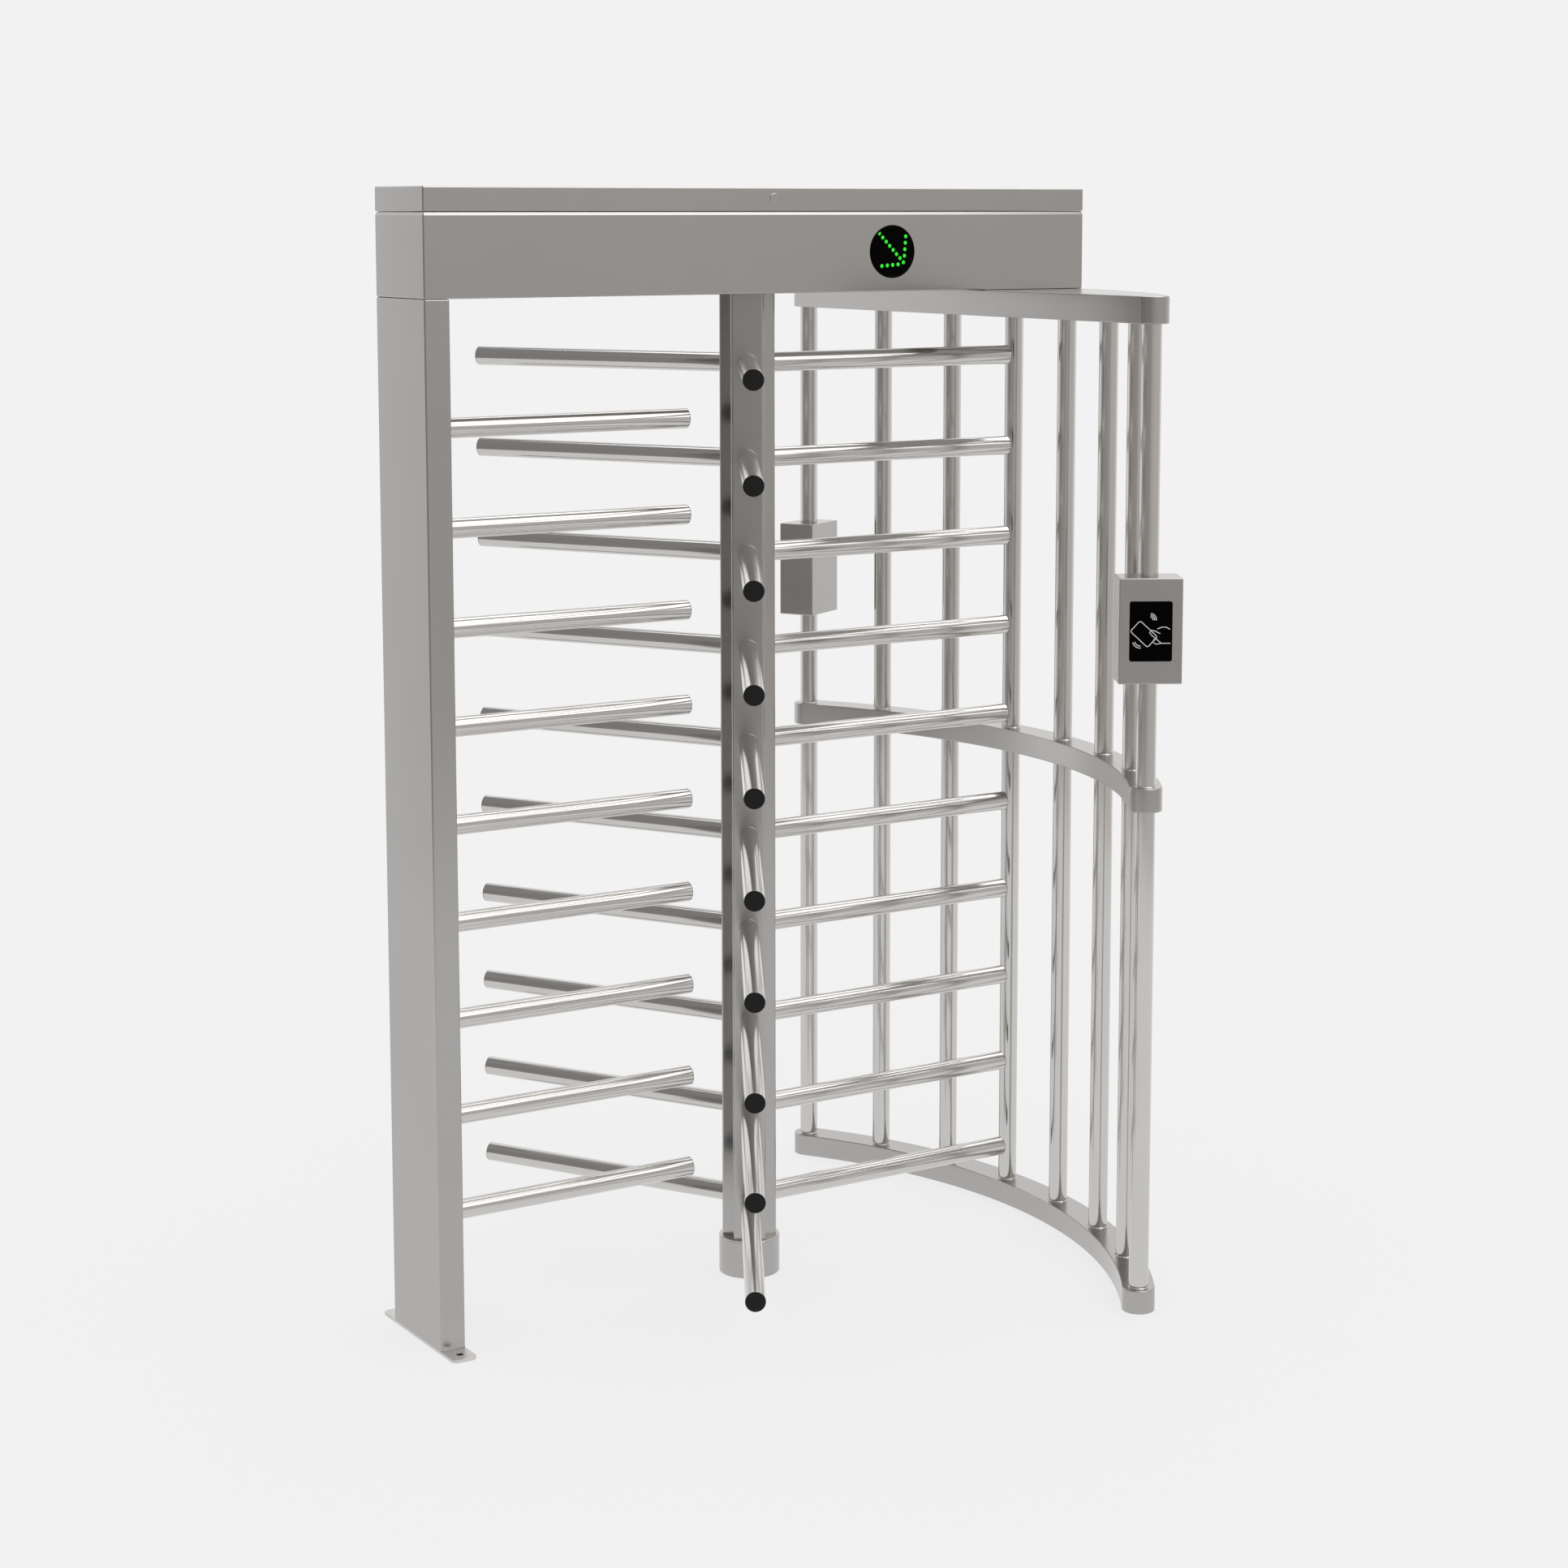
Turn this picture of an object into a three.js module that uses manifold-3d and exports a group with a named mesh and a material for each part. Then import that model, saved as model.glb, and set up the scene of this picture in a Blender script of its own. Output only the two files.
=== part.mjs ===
// A full height turnstile of welded stainless steel: three wings of ten arms
// turn past a fixed comb of bars, between a side post and a curved cage.
// Millimetres, +Z up, the rotor's axis is the Z axis and the floor is z = 0.
// The person walks along Y, and the cage closes the +X side.
import * as THREE from "three";
import { mergeVertices } from "three/addons/utils/BufferGeometryUtils.js";
import Module from "manifold-3d";

const wasm = await Module();
wasm.setup();

// Gaps and finenesses that the whole object shares
const seatGap = 0.3;
const cutOverrun = 2;
const tubeSides = 12;
const holeSides = 8;
const roundSides = 24;
const cornerSteps = 3;

// Arms, bars and rotor
const armPitch = 185;
const tierCount = 10;
const wingCount = 3;
const wingStep = (2 * Math.PI) / wingCount;
const firstArmHeight = 154.5;
const armTipGap = 56.5;
const endCapThickness = 3;
const tubeRadius = 19;
const tubeWall = 2;
const barOffset = 82;
const barTipReach = 137;

// Rotor post, a tube of three box arms with a flat face across each wing
const postFace = 64;
const postReach = 45.6;
const postWall = 3;
const postFootGap = 2;
const postHeadGap = 6.5;

// Rotor foot and the cup it turns in
const cupRadius = 60.5;
const cupHeight = 74;
const bearingOuter = 36;
const bearingHeight = 18;
const pivotRadius = 15;
const pivotRise = 20;
const rotorPlugHeight = 14;

// Side post and its base plate
const frameHalfLength = 731;
const frameDepth = 206;
const sidePostWidth = 50;
const sidePostWall = 3;
const plateThickness = 6;
const plateProjection = 54;
const plateCorner = 12;
const plateHoleRadius = 7;

// Beam over the walkway: an open trough with a hinged lid
const beamHeadroom = 135;
const troughHeight = 155.5;
const lidHeight = 45;
const sheet = 2.5;
const shaftHoleRadius = 26;
const cableHoleRadius = 15;

// Cage: bars on an arc, held by two bands and a cap under the beam
const cageRadius = 1045;
const cageProud = 8;
const cageBarCount = 8;
const cageBarStep = THREE.MathUtils.degToRad(10);
const bandHalfWidth = 32;
const bandHeight = 46.5;
const bandWall = 3;
const bandSegments = 14;
const bandEndSteps = 6;
const middleBandBottom = 983;
const capHeight = 51.5;

// Card readers, each a box round an end bar of the cage
const readerWidth = 120;
const readerHeight = 200;
const readerDepth = 80;
const readerBottom = 1231;
const readerWall = 2.5;
const readerTurn = THREE.MathUtils.degToRad(120);
const windowWidth = 80;
const windowHeight = 113;
const windowCorner = 4;
const windowThickness = 4;

// Direction display in the beam's front and back
const displayX = 268;
const displayDrop = 78;
const displayRadius = 48.5;
const displayRim = 51.3;
const displayDepth = 30;
const displayRimThickness = 2;

// Lid lock, a quarter-turn cylinder whose hooked tongue goes under a catch
const lockRise = 24;
const lockRadius = 10;
const lockProud = 1.5;
const lockLength = 28;
const tongueReach = 40;
const tongueWidth = 12;
const tongueThickness = 3;
const tongueHook = 18;
const catchWidth = 24;
const catchGap = 3;

// Lid hinge along the beam's back edge
const hingeInset = 81;
const knuckleCount = 7;
const knuckleGap = 1.2;
const knuckleRadius = 4;
const hingePinRadius = 1.6;
const hingePinFit = 0.2;
const leafThickness = 2;
const leafHeight = 16;
const leafClear = 1.5;

// Mechanism on the rotor's shaft, inside the beam
const shaftRadius = 20;
const shaftStub = 48;
const shaftFlangeThickness = 12;
const topBearingOuter = 50;
const topBearingHeight = 30;
const gearModule = 3.75;
const gearTeeth = 40;
const pinionTeeth = 12;
const gearWidth = 12;
const gearRaise = 7.7;
const gearBacklash = 0.25;
const discRaise = 8;
const discThickness = 12;
const discRadius = 65;
const notchCount = 12;
const notchWidth = 13;
const notchDepth = 10;
const damperRadius = 40;
const damperShaftRadius = 8;

// Lock pawl, its pivot and its solenoid
const pawlPivotOut = 84;
const pawlPivotAcross = 62;
const pawlEyeRadius = 10;
const pawlPinRadius = 4;
const pawlStemRadius = 8;
const pawlBarWidth = 12;
const pawlTail = 20;
const pawlSwing = THREE.MathUtils.degToRad(8);
const noseWidth = 8;
const noseGap = 2;
const plungerRadius = 5;
const plungerDrop = 14;
const plungerLength = 60;
const plungerFit = 0.3;
const solenoidStart = 114;
const solenoidLength = 60;
const solenoidWidth = 36;
const solenoidHalfHeight = 20;
const solenoidFoot = 12;

// Electronics on the beam's floor
const boardLength = 160;
const boardWidth = 100;
const boardThickness = 2;
const boardOffset = 230;
const standoffHeight = 12;
const standoffRadius = 4;
const standoffInset = 8;
const supplyLength = 159;
const supplyWidth = 98;
const supplyHeight = 42;
const supplyInset = 291;

// Finishes
const satinSteel = { color: 0x9a9692, roughness: 0.38, metalness: 1 };
const polishedSteel = { color: 0xc9c5c1, roughness: 0.16, metalness: 1 };
const bearingSteel = { color: 0xb4b6b8, roughness: 0.25, metalness: 1 };
const castAluminium = { color: 0x8f9296, roughness: 0.5, metalness: 0.9 };
const blackGlass = { color: 0x050505, roughness: 0.12, metalness: 0 };
const blackPlastic = { color: 0x161616, roughness: 0.5, metalness: 0 };
const boardGreen = { color: 0x14532d, roughness: 0.55, metalness: 0 };

// Sizes that follow from the ones above
const boreRadius = tubeRadius - tubeWall;
const throughRadius = tubeRadius + seatGap;
const halfDepth = frameDepth / 2;
const notchTurn = wingStep / 2;
const rotorPlugRadius = (postFace / 2 - postWall) / Math.sin(notchTurn) - seatGap;
const beamBottom = firstArmHeight + (tierCount - 1) * armPitch + beamHeadroom;
const beamSeam = beamBottom + troughHeight;
const beamTop = beamSeam + lidHeight;
const floorTop = beamBottom + sheet;
const lidBottom = beamSeam + seatGap;
const postBottom = cupHeight + postFootGap;
const postTop = beamBottom - postHeadGap;
const capBottom = beamBottom - capHeight;
const gearBottom = floorTop + seatGap + topBearingHeight + gearRaise;
const discBottom = gearBottom + gearWidth + discRaise;
const lockHeight = beamSeam + lockRise;
const displayHeight = beamSeam - displayDrop;
const cageCentreX = frameHalfLength + cageProud - bandHalfWidth - cageRadius;
const armReach = frameHalfLength + cageProud - 2 * bandHalfWidth - armTipGap;
const cageSpan = (cageBarCount - 1) * cageBarStep;
const endBar = new THREE.Vector2(
  cageCentreX + cageRadius * Math.cos(cageSpan / 2),
  cageRadius * Math.sin(cageSpan / 2),
);
const hingeAxisY = halfDepth + seatGap + knuckleRadius;
const hingeLength = 2 * (frameHalfLength - hingeInset);
const pawlPivot = new THREE.Vector2(pawlPivotOut, pawlPivotAcross);
const supplyX = frameHalfLength - supplyInset;

const turnstile = new THREE.Group();

// Adds one piece to the turnstile under its name.
function addPiece(name, geometry, finish, parent = turnstile) {
  const piece = new THREE.Mesh(geometry, new THREE.MeshStandardMaterial(finish));
  piece.name = name;
  parent.add(piece);
  return piece;
}

// Turns a closed geometry into a solid that can be cut and joined.
function solidOf(geometry) {
  const bare = geometry.clone();
  bare.deleteAttribute("normal");
  bare.deleteAttribute("uv");
  const merged = mergeVertices(bare);
  return new wasm.Manifold(
    new wasm.Mesh({
      numProp: 3,
      vertProperties: new Float32Array(merged.attributes.position.array),
      triVerts: new Uint32Array(merged.index.array),
    }),
  );
}

function geometryOf(solid) {
  const mesh = solid.getMesh();
  const geometry = new THREE.BufferGeometry();
  const places = new THREE.BufferAttribute(mesh.vertProperties, 3);
  geometry.setAttribute("position", places);
  geometry.setIndex(new THREE.BufferAttribute(mesh.triVerts, 1));
  return geometry;
}

function cut(base, ...tools) {
  return geometryOf(
    tools.reduce((solid, tool) => solid.subtract(solidOf(tool)), solidOf(base)),
  );
}

function join(base, ...others) {
  return geometryOf(
    others.reduce((solid, other) => solid.add(solidOf(other)), solidOf(base)),
  );
}

// A box between two corners.
function boxBetween(low, high) {
  const size = high.clone().sub(low);
  const box = new THREE.BoxGeometry(size.x, size.y, size.z);
  const middle = low.clone().add(high).multiplyScalar(1 / 2);
  return box.translate(middle.x, middle.y, middle.z);
}

// A solid round bar standing on height, along Z.
function roundBar(radius, height, length, sides = roundSides) {
  const bar = new THREE.CylinderGeometry(radius, radius, length, sides);
  return bar.rotateX(Math.PI / 2).translate(0, 0, height + length / 2);
}

// A cutter for a hole whose flats stay outside radius, whatever turns in it.
function holeCutter(radius, height, length, sides = roundSides) {
  return roundBar(radius / Math.cos(Math.PI / sides), height, length, sides);
}

// A turned piece: its profile is a list of [radius, height] points, anticlockwise.
function turned(profile, sides = roundSides) {
  const points = profile.map(([radius, height]) => new THREE.Vector2(radius, height));
  points.push(points[0].clone());
  return new THREE.LatheGeometry(points, sides).rotateX(Math.PI / 2);
}

// A tube standing on height, along Z.
function tube(outer, inner, height, length, sides = tubeSides) {
  const top = height + length;
  const profile = [
    [inner, height],
    [outer, height],
    [outer, top],
    [inner, top],
  ];
  return turned(profile, sides);
}

// An outline drawn in plan and raised along Z.
function raised(outline, height, length) {
  const shape = new THREE.Shape(outline);
  const options = { depth: length, bevelEnabled: false };
  return new THREE.ExtrudeGeometry(shape, options).translate(0, 0, height);
}

function polar(radius, angle, centreX = 0) {
  return new THREE.Vector2(
    centreX + radius * Math.cos(angle),
    radius * Math.sin(angle),
  );
}

// A rectangle in plan with rounded corners.
function roundedRectangle(width, depth, corner) {
  const outline = [];
  for (let quarter = 0; quarter < 4; quarter += 1) {
    const start = (quarter * Math.PI) / 2;
    const signX = quarter === 0 || quarter === 3 ? 1 : -1;
    const signY = quarter < 2 ? 1 : -1;
    for (let step = 0; step <= cornerSteps; step += 1) {
      const angle = start + (step / cornerSteps) * (Math.PI / 2);
      outline.push(
        new THREE.Vector2(
          signX * (width / 2 - corner) + corner * Math.cos(angle),
          signY * (depth / 2 - corner) + corner * Math.sin(angle),
        ),
      );
    }
  }
  return outline;
}

// Rotor post in plan: a box arm behind each wing, and a notch between two arms
function postOutline(inset) {
  const halfFace = postFace / 2 - inset;
  const outline = [];
  for (let wing = 0; wing < wingCount; wing += 1) {
    const facing = wing * wingStep;
    for (const side of [-halfFace, halfFace]) {
      outline.push(
        new THREE.Vector2(postReach - inset, side).rotateAround(new THREE.Vector2(), facing),
      );
    }
    outline.push(polar(halfFace / Math.sin(notchTurn), facing + notchTurn));
  }
  return outline;
}

function rotorPost() {
  const length = postTop - postBottom;
  const shell = raised(postOutline(0), postBottom, length);
  const inside = raised(
    postOutline(postWall),
    postBottom - cutOverrun,
    length + 2 * cutOverrun,
  );
  const holes = [];
  for (let tier = 0; tier < tierCount; tier += 1) {
    for (let wing = 0; wing < wingCount; wing += 1) {
      const hole = holeCutter(throughRadius, 0, postReach + cutOverrun, holeSides);
      hole.rotateY(Math.PI / 2).rotateZ(wing * wingStep);
      holes.push(hole.translate(0, 0, firstArmHeight + tier * armPitch));
    }
  }
  return cut(shell, inside, ...holes);
}

// One tier of the rotor: three tubes welded together on the axis inside the post.
function armTier() {
  const length = armReach - endCapThickness;
  const arms = [];
  const bores = [];
  for (let wing = 0; wing < wingCount; wing += 1) {
    const arm = roundBar(tubeRadius, 0, length, tubeSides);
    arms.push(arm.rotateY(Math.PI / 2).rotateZ(wing * wingStep));
    const bore = roundBar(boreRadius, postReach, length, holeSides);
    bores.push(bore.rotateY(Math.PI / 2).rotateZ(wing * wingStep));
  }
  return cut(join(...arms), ...bores);
}

addPiece("rotor_post", rotorPost(), satinSteel);
for (let tier = 0; tier < tierCount; tier += 1) {
  const arms = addPiece(`rotor_arm_tier_${tier + 1}`, armTier(), polishedSteel);
  arms.position.z = firstArmHeight + tier * armPitch;
}

// Rotor foot: the cup is bolted down and holds the pivot and its bearing.
const pocketFloor = postBottom - seatGap - bearingHeight;
addPiece(
  "foot_cup",
  turned([
    [0, 0],
    [cupRadius, 0],
    [cupRadius, cupHeight],
    [bearingOuter + seatGap, cupHeight],
    [bearingOuter + seatGap, pocketFloor - seatGap],
    [pivotRadius, pocketFloor - seatGap],
    [pivotRadius, postBottom + pivotRise],
    [0, postBottom + pivotRise],
  ]),
  satinSteel,
);
addPiece(
  "foot_bearing",
  tube(bearingOuter, pivotRadius + seatGap, pocketFloor, bearingHeight, roundSides),
  bearingSteel,
);
addPiece(
  "rotor_foot_plug",
  tube(
    rotorPlugRadius,
    pivotRadius + seatGap,
    postBottom,
    rotorPlugHeight,
    roundSides,
  ),
  castAluminium,
);
addPiece(
  "rotor_shaft",
  turned([
    [0, postTop - shaftFlangeThickness],
    [rotorPlugRadius, postTop - shaftFlangeThickness],
    [rotorPlugRadius, postTop],
    [shaftRadius, postTop],
    [shaftRadius, discBottom + discThickness + shaftStub],
    [0, discBottom + discThickness + shaftStub],
  ]),
  bearingSteel,
);

// Side post, its base plate and the fixed comb of bars
const sidePostX = -frameHalfLength + sidePostWidth / 2;
function sidePost() {
  const bottom = plateThickness + seatGap;
  const top = beamBottom - seatGap;
  const half = new THREE.Vector2(sidePostWidth / 2, halfDepth);
  const shell = boxBetween(
    new THREE.Vector3(-half.x, -half.y, bottom),
    new THREE.Vector3(half.x, half.y, top),
  );
  const inside = boxBetween(
    new THREE.Vector3(-half.x + sidePostWall, -half.y + sidePostWall, bottom - cutOverrun),
    new THREE.Vector3(half.x - sidePostWall, half.y - sidePostWall, top + cutOverrun),
  );
  return cut(shell, inside);
}
function basePlate() {
  const depth = frameDepth + 2 * plateProjection;
  const outline = roundedRectangle(sidePostWidth, depth, plateCorner);
  const holes = [-1, 1].map((side) =>
    roundBar(plateHoleRadius, -cutOverrun, plateThickness + 2 * cutOverrun, tubeSides)
      .translate(0, side * (halfDepth + plateProjection / 2), 0),
  );
  return cut(raised(outline, 0, plateThickness), ...holes);
}
addPiece("side_post", sidePost(), satinSteel).position.x = sidePostX;
addPiece("base_plate", basePlate(), satinSteel).position.x = sidePostX;

const barStartX = -frameHalfLength + sidePostWidth + seatGap;
const barLength = -barTipReach - endCapThickness - barStartX;
for (let bar = 0; bar < tierCount - 1; bar += 1) {
  const shape = tube(tubeRadius, boreRadius, 0, barLength, tubeSides);
  const piece = addPiece(`barrier_bar_${bar + 1}`, shape.rotateY(Math.PI / 2), polishedSteel);
  piece.position.set(barStartX, 0, firstArmHeight + barOffset + bar * armPitch);
}

// Cage bands: arcs with round ends about the end bars, bored for the bars
function bandOutline(inset) {
  const outline = [];
  const halfWidth = bandHalfWidth - inset;
  const reach = cageSpan / 2;
  for (let step = 0; step <= bandSegments; step += 1) {
    const angle = -reach + (step / bandSegments) * cageSpan;
    outline.push(polar(cageRadius + halfWidth, angle, cageCentreX));
  }
  addBandEnd(outline, reach, halfWidth, 0);
  for (let step = 0; step <= bandSegments; step += 1) {
    const angle = reach - (step / bandSegments) * cageSpan;
    outline.push(polar(cageRadius - halfWidth, angle, cageCentreX));
  }
  addBandEnd(outline, -reach, halfWidth, Math.PI);
  return outline;
}
function addBandEnd(outline, angle, radius, turn) {
  const centre = polar(cageRadius, angle, cageCentreX);
  for (let step = 1; step < bandEndSteps; step += 1) {
    const facing = angle + turn + (step / bandEndSteps) * Math.PI;
    outline.push(
      new THREE.Vector2(
        centre.x + radius * Math.cos(facing),
        centre.y + radius * Math.sin(facing),
      ),
    );
  }
}
function cageHoles(height, length) {
  const holes = [];
  for (let bar = 0; bar < cageBarCount; bar += 1) {
    const place = polar(cageRadius, -cageSpan / 2 + bar * cageBarStep, cageCentreX);
    const hole = holeCutter(throughRadius, height, length, holeSides);
    holes.push(hole.translate(place.x, place.y, 0));
  }
  return holes;
}
function band(bottom, holeBottom) {
  const shell = raised(bandOutline(0), bottom, bandHeight);
  const inside = raised(
    bandOutline(bandWall),
    bottom + bandWall,
    bandHeight - 2 * bandWall,
  );
  const top = bottom + bandHeight + cutOverrun;
  return cut(shell, inside, ...cageHoles(holeBottom, top - holeBottom));
}
addPiece("bottom_band", band(0, bandWall), satinSteel);
addPiece("middle_band", band(middleBandBottom, middleBandBottom - cutOverrun), satinSteel);

// Cage cap: the arc closed by a straight front, like a half moon
function capOutline(inset) {
  const outline = [];
  const reach = cageSpan / 2;
  const radius = bandHalfWidth - inset;
  for (let step = 0; step <= bandSegments; step += 1) {
    const angle = -reach + (step / bandSegments) * cageSpan;
    outline.push(polar(cageRadius + radius, angle, cageCentreX));
  }
  for (const side of [1, -1]) {
    for (let step = 1; step <= bandEndSteps; step += 1) {
      const share = side > 0 ? step / bandEndSteps : 1 - (step - 1) / bandEndSteps;
      const facing = side * (reach + share * (Math.PI - reach));
      outline.push(
        new THREE.Vector2(
          endBar.x + radius * Math.cos(facing),
          side * endBar.y + radius * Math.sin(facing),
        ),
      );
    }
  }
  return outline;
}
const capTop = beamBottom - seatGap;
const capCableX = endBar.x + bandHalfWidth;
function cageCap() {
  const shell = raised(capOutline(0), capBottom, capTop - capBottom);
  const inside = raised(
    capOutline(bandWall),
    capBottom + bandWall,
    capTop - capBottom - 2 * bandWall,
  );
  const cableHole = roundBar(cableHoleRadius, capTop - bandWall - cutOverrun,
    bandWall + 2 * cutOverrun, tubeSides).translate(capCableX, 0, 0);
  return cut(shell, inside, cableHole);
}
addPiece("cage_cap", cageCap(), satinSteel);

const cageBarBottom = bandWall + seatGap;
const cageBarLength = capBottom - seatGap - cageBarBottom;
for (let bar = 0; bar < cageBarCount; bar += 1) {
  const shape = tube(tubeRadius, boreRadius, cageBarBottom, cageBarLength, tubeSides);
  const piece = addPiece(`cage_bar_${bar + 1}`, shape, polishedSteel);
  const place = polar(cageRadius, -cageSpan / 2 + bar * cageBarStep, cageCentreX);
  piece.position.set(place.x, place.y, 0);
}

// Card readers: the front one faces the front wing's side, the rear one mirrors it.
// Each is modelled facing +X, round a bar on its own Z axis.
function readerBox() {
  const low = new THREE.Vector3(-readerDepth / 2, -readerWidth / 2, readerBottom);
  const high = low.clone().setZ(readerBottom + readerHeight).multiply(
    new THREE.Vector3(-1, -1, 1),
  );
  const shell = boxBetween(low, high);
  const inside = boxBetween(
    low.clone().addScalar(readerWall),
    high.clone().subScalar(readerWall),
  );
  const barHole = holeCutter(
    throughRadius,
    readerBottom - cutOverrun,
    readerHeight + 2 * cutOverrun,
    holeSides,
  );
  return cut(shell, inside, barHole, windowBlock(seatGap, readerWall + cutOverrun));
}
function windowBlock(grow, depth) {
  const outline = roundedRectangle(
    windowHeight + 2 * grow,
    windowWidth + 2 * grow,
    windowCorner,
  );
  const block = raised(outline, 0, depth).rotateY(Math.PI / 2);
  const middle = readerBottom + readerHeight / 2;
  return block.translate(readerDepth / 2 - readerWall - grow, 0, middle);
}
for (const [name, side] of [["front", -1], ["rear", 1]]) {
  const mount = new THREE.Group();
  mount.position.set(endBar.x, side * endBar.y, 0);
  mount.rotation.z = side * readerTurn;
  turnstile.add(mount);
  addPiece(`reader_box_${name}`, readerBox(), satinSteel, mount);
  const pane = windowBlock(0, windowThickness).translate(readerWall - windowThickness, 0, 0);
  addPiece(`reader_window_${name}`, pane, blackGlass, mount);
}

// Beam: a trough with holes for the shaft, the cables and the two displays,
// and a catch on its front wall that the lid's lock hooks under
function displayHole() {
  const reach = frameDepth + 2 * cutOverrun;
  const hole = roundBar(displayRadius + seatGap, -reach / 2, reach);
  return hole.rotateX(Math.PI / 2).translate(displayX, 0, displayHeight);
}
function beamHousing() {
  const shell = boxBetween(
    new THREE.Vector3(-frameHalfLength, -halfDepth, beamBottom),
    new THREE.Vector3(frameHalfLength, halfDepth, beamSeam),
  );
  const inside = boxBetween(
    new THREE.Vector3(-frameHalfLength + sheet, -halfDepth + sheet, floorTop),
    new THREE.Vector3(frameHalfLength - sheet, halfDepth - sheet, beamSeam + cutOverrun),
  );
  const floorCut = sheet + 2 * cutOverrun;
  const shaftHole = roundBar(shaftHoleRadius, beamBottom - cutOverrun, floorCut);
  const cableHoles = [sidePostX, capCableX].map((x) =>
    roundBar(cableHoleRadius, beamBottom - cutOverrun, floorCut, tubeSides).translate(x, 0, 0),
  );
  const trough = cut(shell, inside, shaftHole, ...cableHoles, displayHole());
  const catchBottom = lockHeight - tongueReach + tongueThickness + catchGap;
  const lidCatch = boxBetween(
    new THREE.Vector3(-catchWidth / 2, -halfDepth + sheet / 2, catchBottom),
    new THREE.Vector3(catchWidth / 2, -halfDepth + tongueHook, catchBottom + sheet),
  );
  return join(trough, lidCatch);
}
function beamLid() {
  const shell = boxBetween(
    new THREE.Vector3(-frameHalfLength, -halfDepth, lidBottom),
    new THREE.Vector3(frameHalfLength, halfDepth, beamTop),
  );
  const inside = boxBetween(
    new THREE.Vector3(-frameHalfLength + sheet, -halfDepth + sheet, lidBottom - cutOverrun),
    new THREE.Vector3(frameHalfLength - sheet, halfDepth - sheet, beamTop - sheet),
  );
  const lockHole = roundBar(lockRadius + seatGap, -cutOverrun, sheet + 2 * cutOverrun);
  lockHole.rotateX(-Math.PI / 2).translate(0, -halfDepth, lockHeight);
  return cut(shell, inside, lockHole);
}
addPiece("beam_housing", beamHousing(), satinSteel);
addPiece("beam_lid", beamLid(), satinSteel);

// Lid lock: the cylinder runs along Y, and its hook lies under the trough's catch.
function lidLock() {
  const cylinder = roundBar(lockRadius, -lockProud, lockLength, tubeSides);
  cylinder.rotateX(-Math.PI / 2);
  const tongue = boxBetween(
    new THREE.Vector3(-tongueWidth / 2, lockLength - lockProud - tongueThickness, -tongueReach),
    new THREE.Vector3(tongueWidth / 2, lockLength - lockProud, 0),
  );
  const hook = boxBetween(
    new THREE.Vector3(-tongueWidth / 2, lockLength - lockProud - tongueHook, -tongueReach),
    new THREE.Vector3(
      tongueWidth / 2,
      lockLength - lockProud,
      -tongueReach + tongueThickness,
    ),
  );
  return join(cylinder, tongue, hook);
}
addPiece("lid_lock", lidLock(), bearingSteel).position.set(0, -halfDepth, lockHeight);

// Lid hinge: leaves with turns of knuckle about a pin behind the beam's back edge
function hingeLeaf(side, first) {
  const leafLow = side > 0 ? knuckleRadius + leafClear : -knuckleRadius - leafClear - leafHeight;
  const pitch = hingeLength / knuckleCount;
  const solids = [
    boxBetween(
      new THREE.Vector3(-hingeLength / 2, -knuckleRadius, leafLow),
      new THREE.Vector3(hingeLength / 2, -knuckleRadius + leafThickness, leafLow + leafHeight),
    ),
  ];
  for (let knuckle = first; knuckle < knuckleCount; knuckle += 2) {
    const start = -hingeLength / 2 + knuckle * pitch + knuckleGap / 2;
    const length = pitch - knuckleGap;
    const barrel = roundBar(knuckleRadius, start, length, holeSides);
    solids.push(barrel.rotateY(Math.PI / 2));
    solids.push(
      boxBetween(
        new THREE.Vector3(start, -knuckleRadius, Math.min(0, side * (knuckleRadius + leafClear))),
        new THREE.Vector3(
          start + length,
          -knuckleRadius + leafThickness,
          Math.max(0, side * (knuckleRadius + leafClear)),
        ),
      ),
    );
  }
  const bore = roundBar(
    hingePinRadius + hingePinFit,
    -hingeLength / 2 - cutOverrun,
    hingeLength + 2 * cutOverrun,
    holeSides,
  );
  return cut(join(...solids), bore.rotateY(Math.PI / 2));
}
const hinge = new THREE.Group();
hinge.position.set(0, hingeAxisY, beamSeam);
turnstile.add(hinge);
addPiece("hinge_leaf_beam", hingeLeaf(-1, 0), bearingSteel, hinge);
addPiece("hinge_leaf_lid", hingeLeaf(1, 1), bearingSteel, hinge);
const hingePin = roundBar(hingePinRadius, -hingeLength / 2, hingeLength, holeSides);
addPiece("hinge_pin", hingePin.rotateY(Math.PI / 2), bearingSteel, hinge);

// Direction displays: a pod through the wall with a rim outside it
function displayPod() {
  return turned([
    [0, seatGap - displayDepth],
    [displayRadius, seatGap - displayDepth],
    [displayRadius, seatGap],
    [displayRim, seatGap],
    [displayRim, seatGap + displayRimThickness],
    [0, seatGap + displayRimThickness],
  ]);
}
for (const [name, side] of [["front", -1], ["rear", 1]]) {
  const pod = displayPod().rotateX((-side * Math.PI) / 2);
  const piece = addPiece(`display_${name}`, pod, blackGlass);
  piece.position.set(displayX, side * halfDepth, displayHeight);
}

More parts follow.
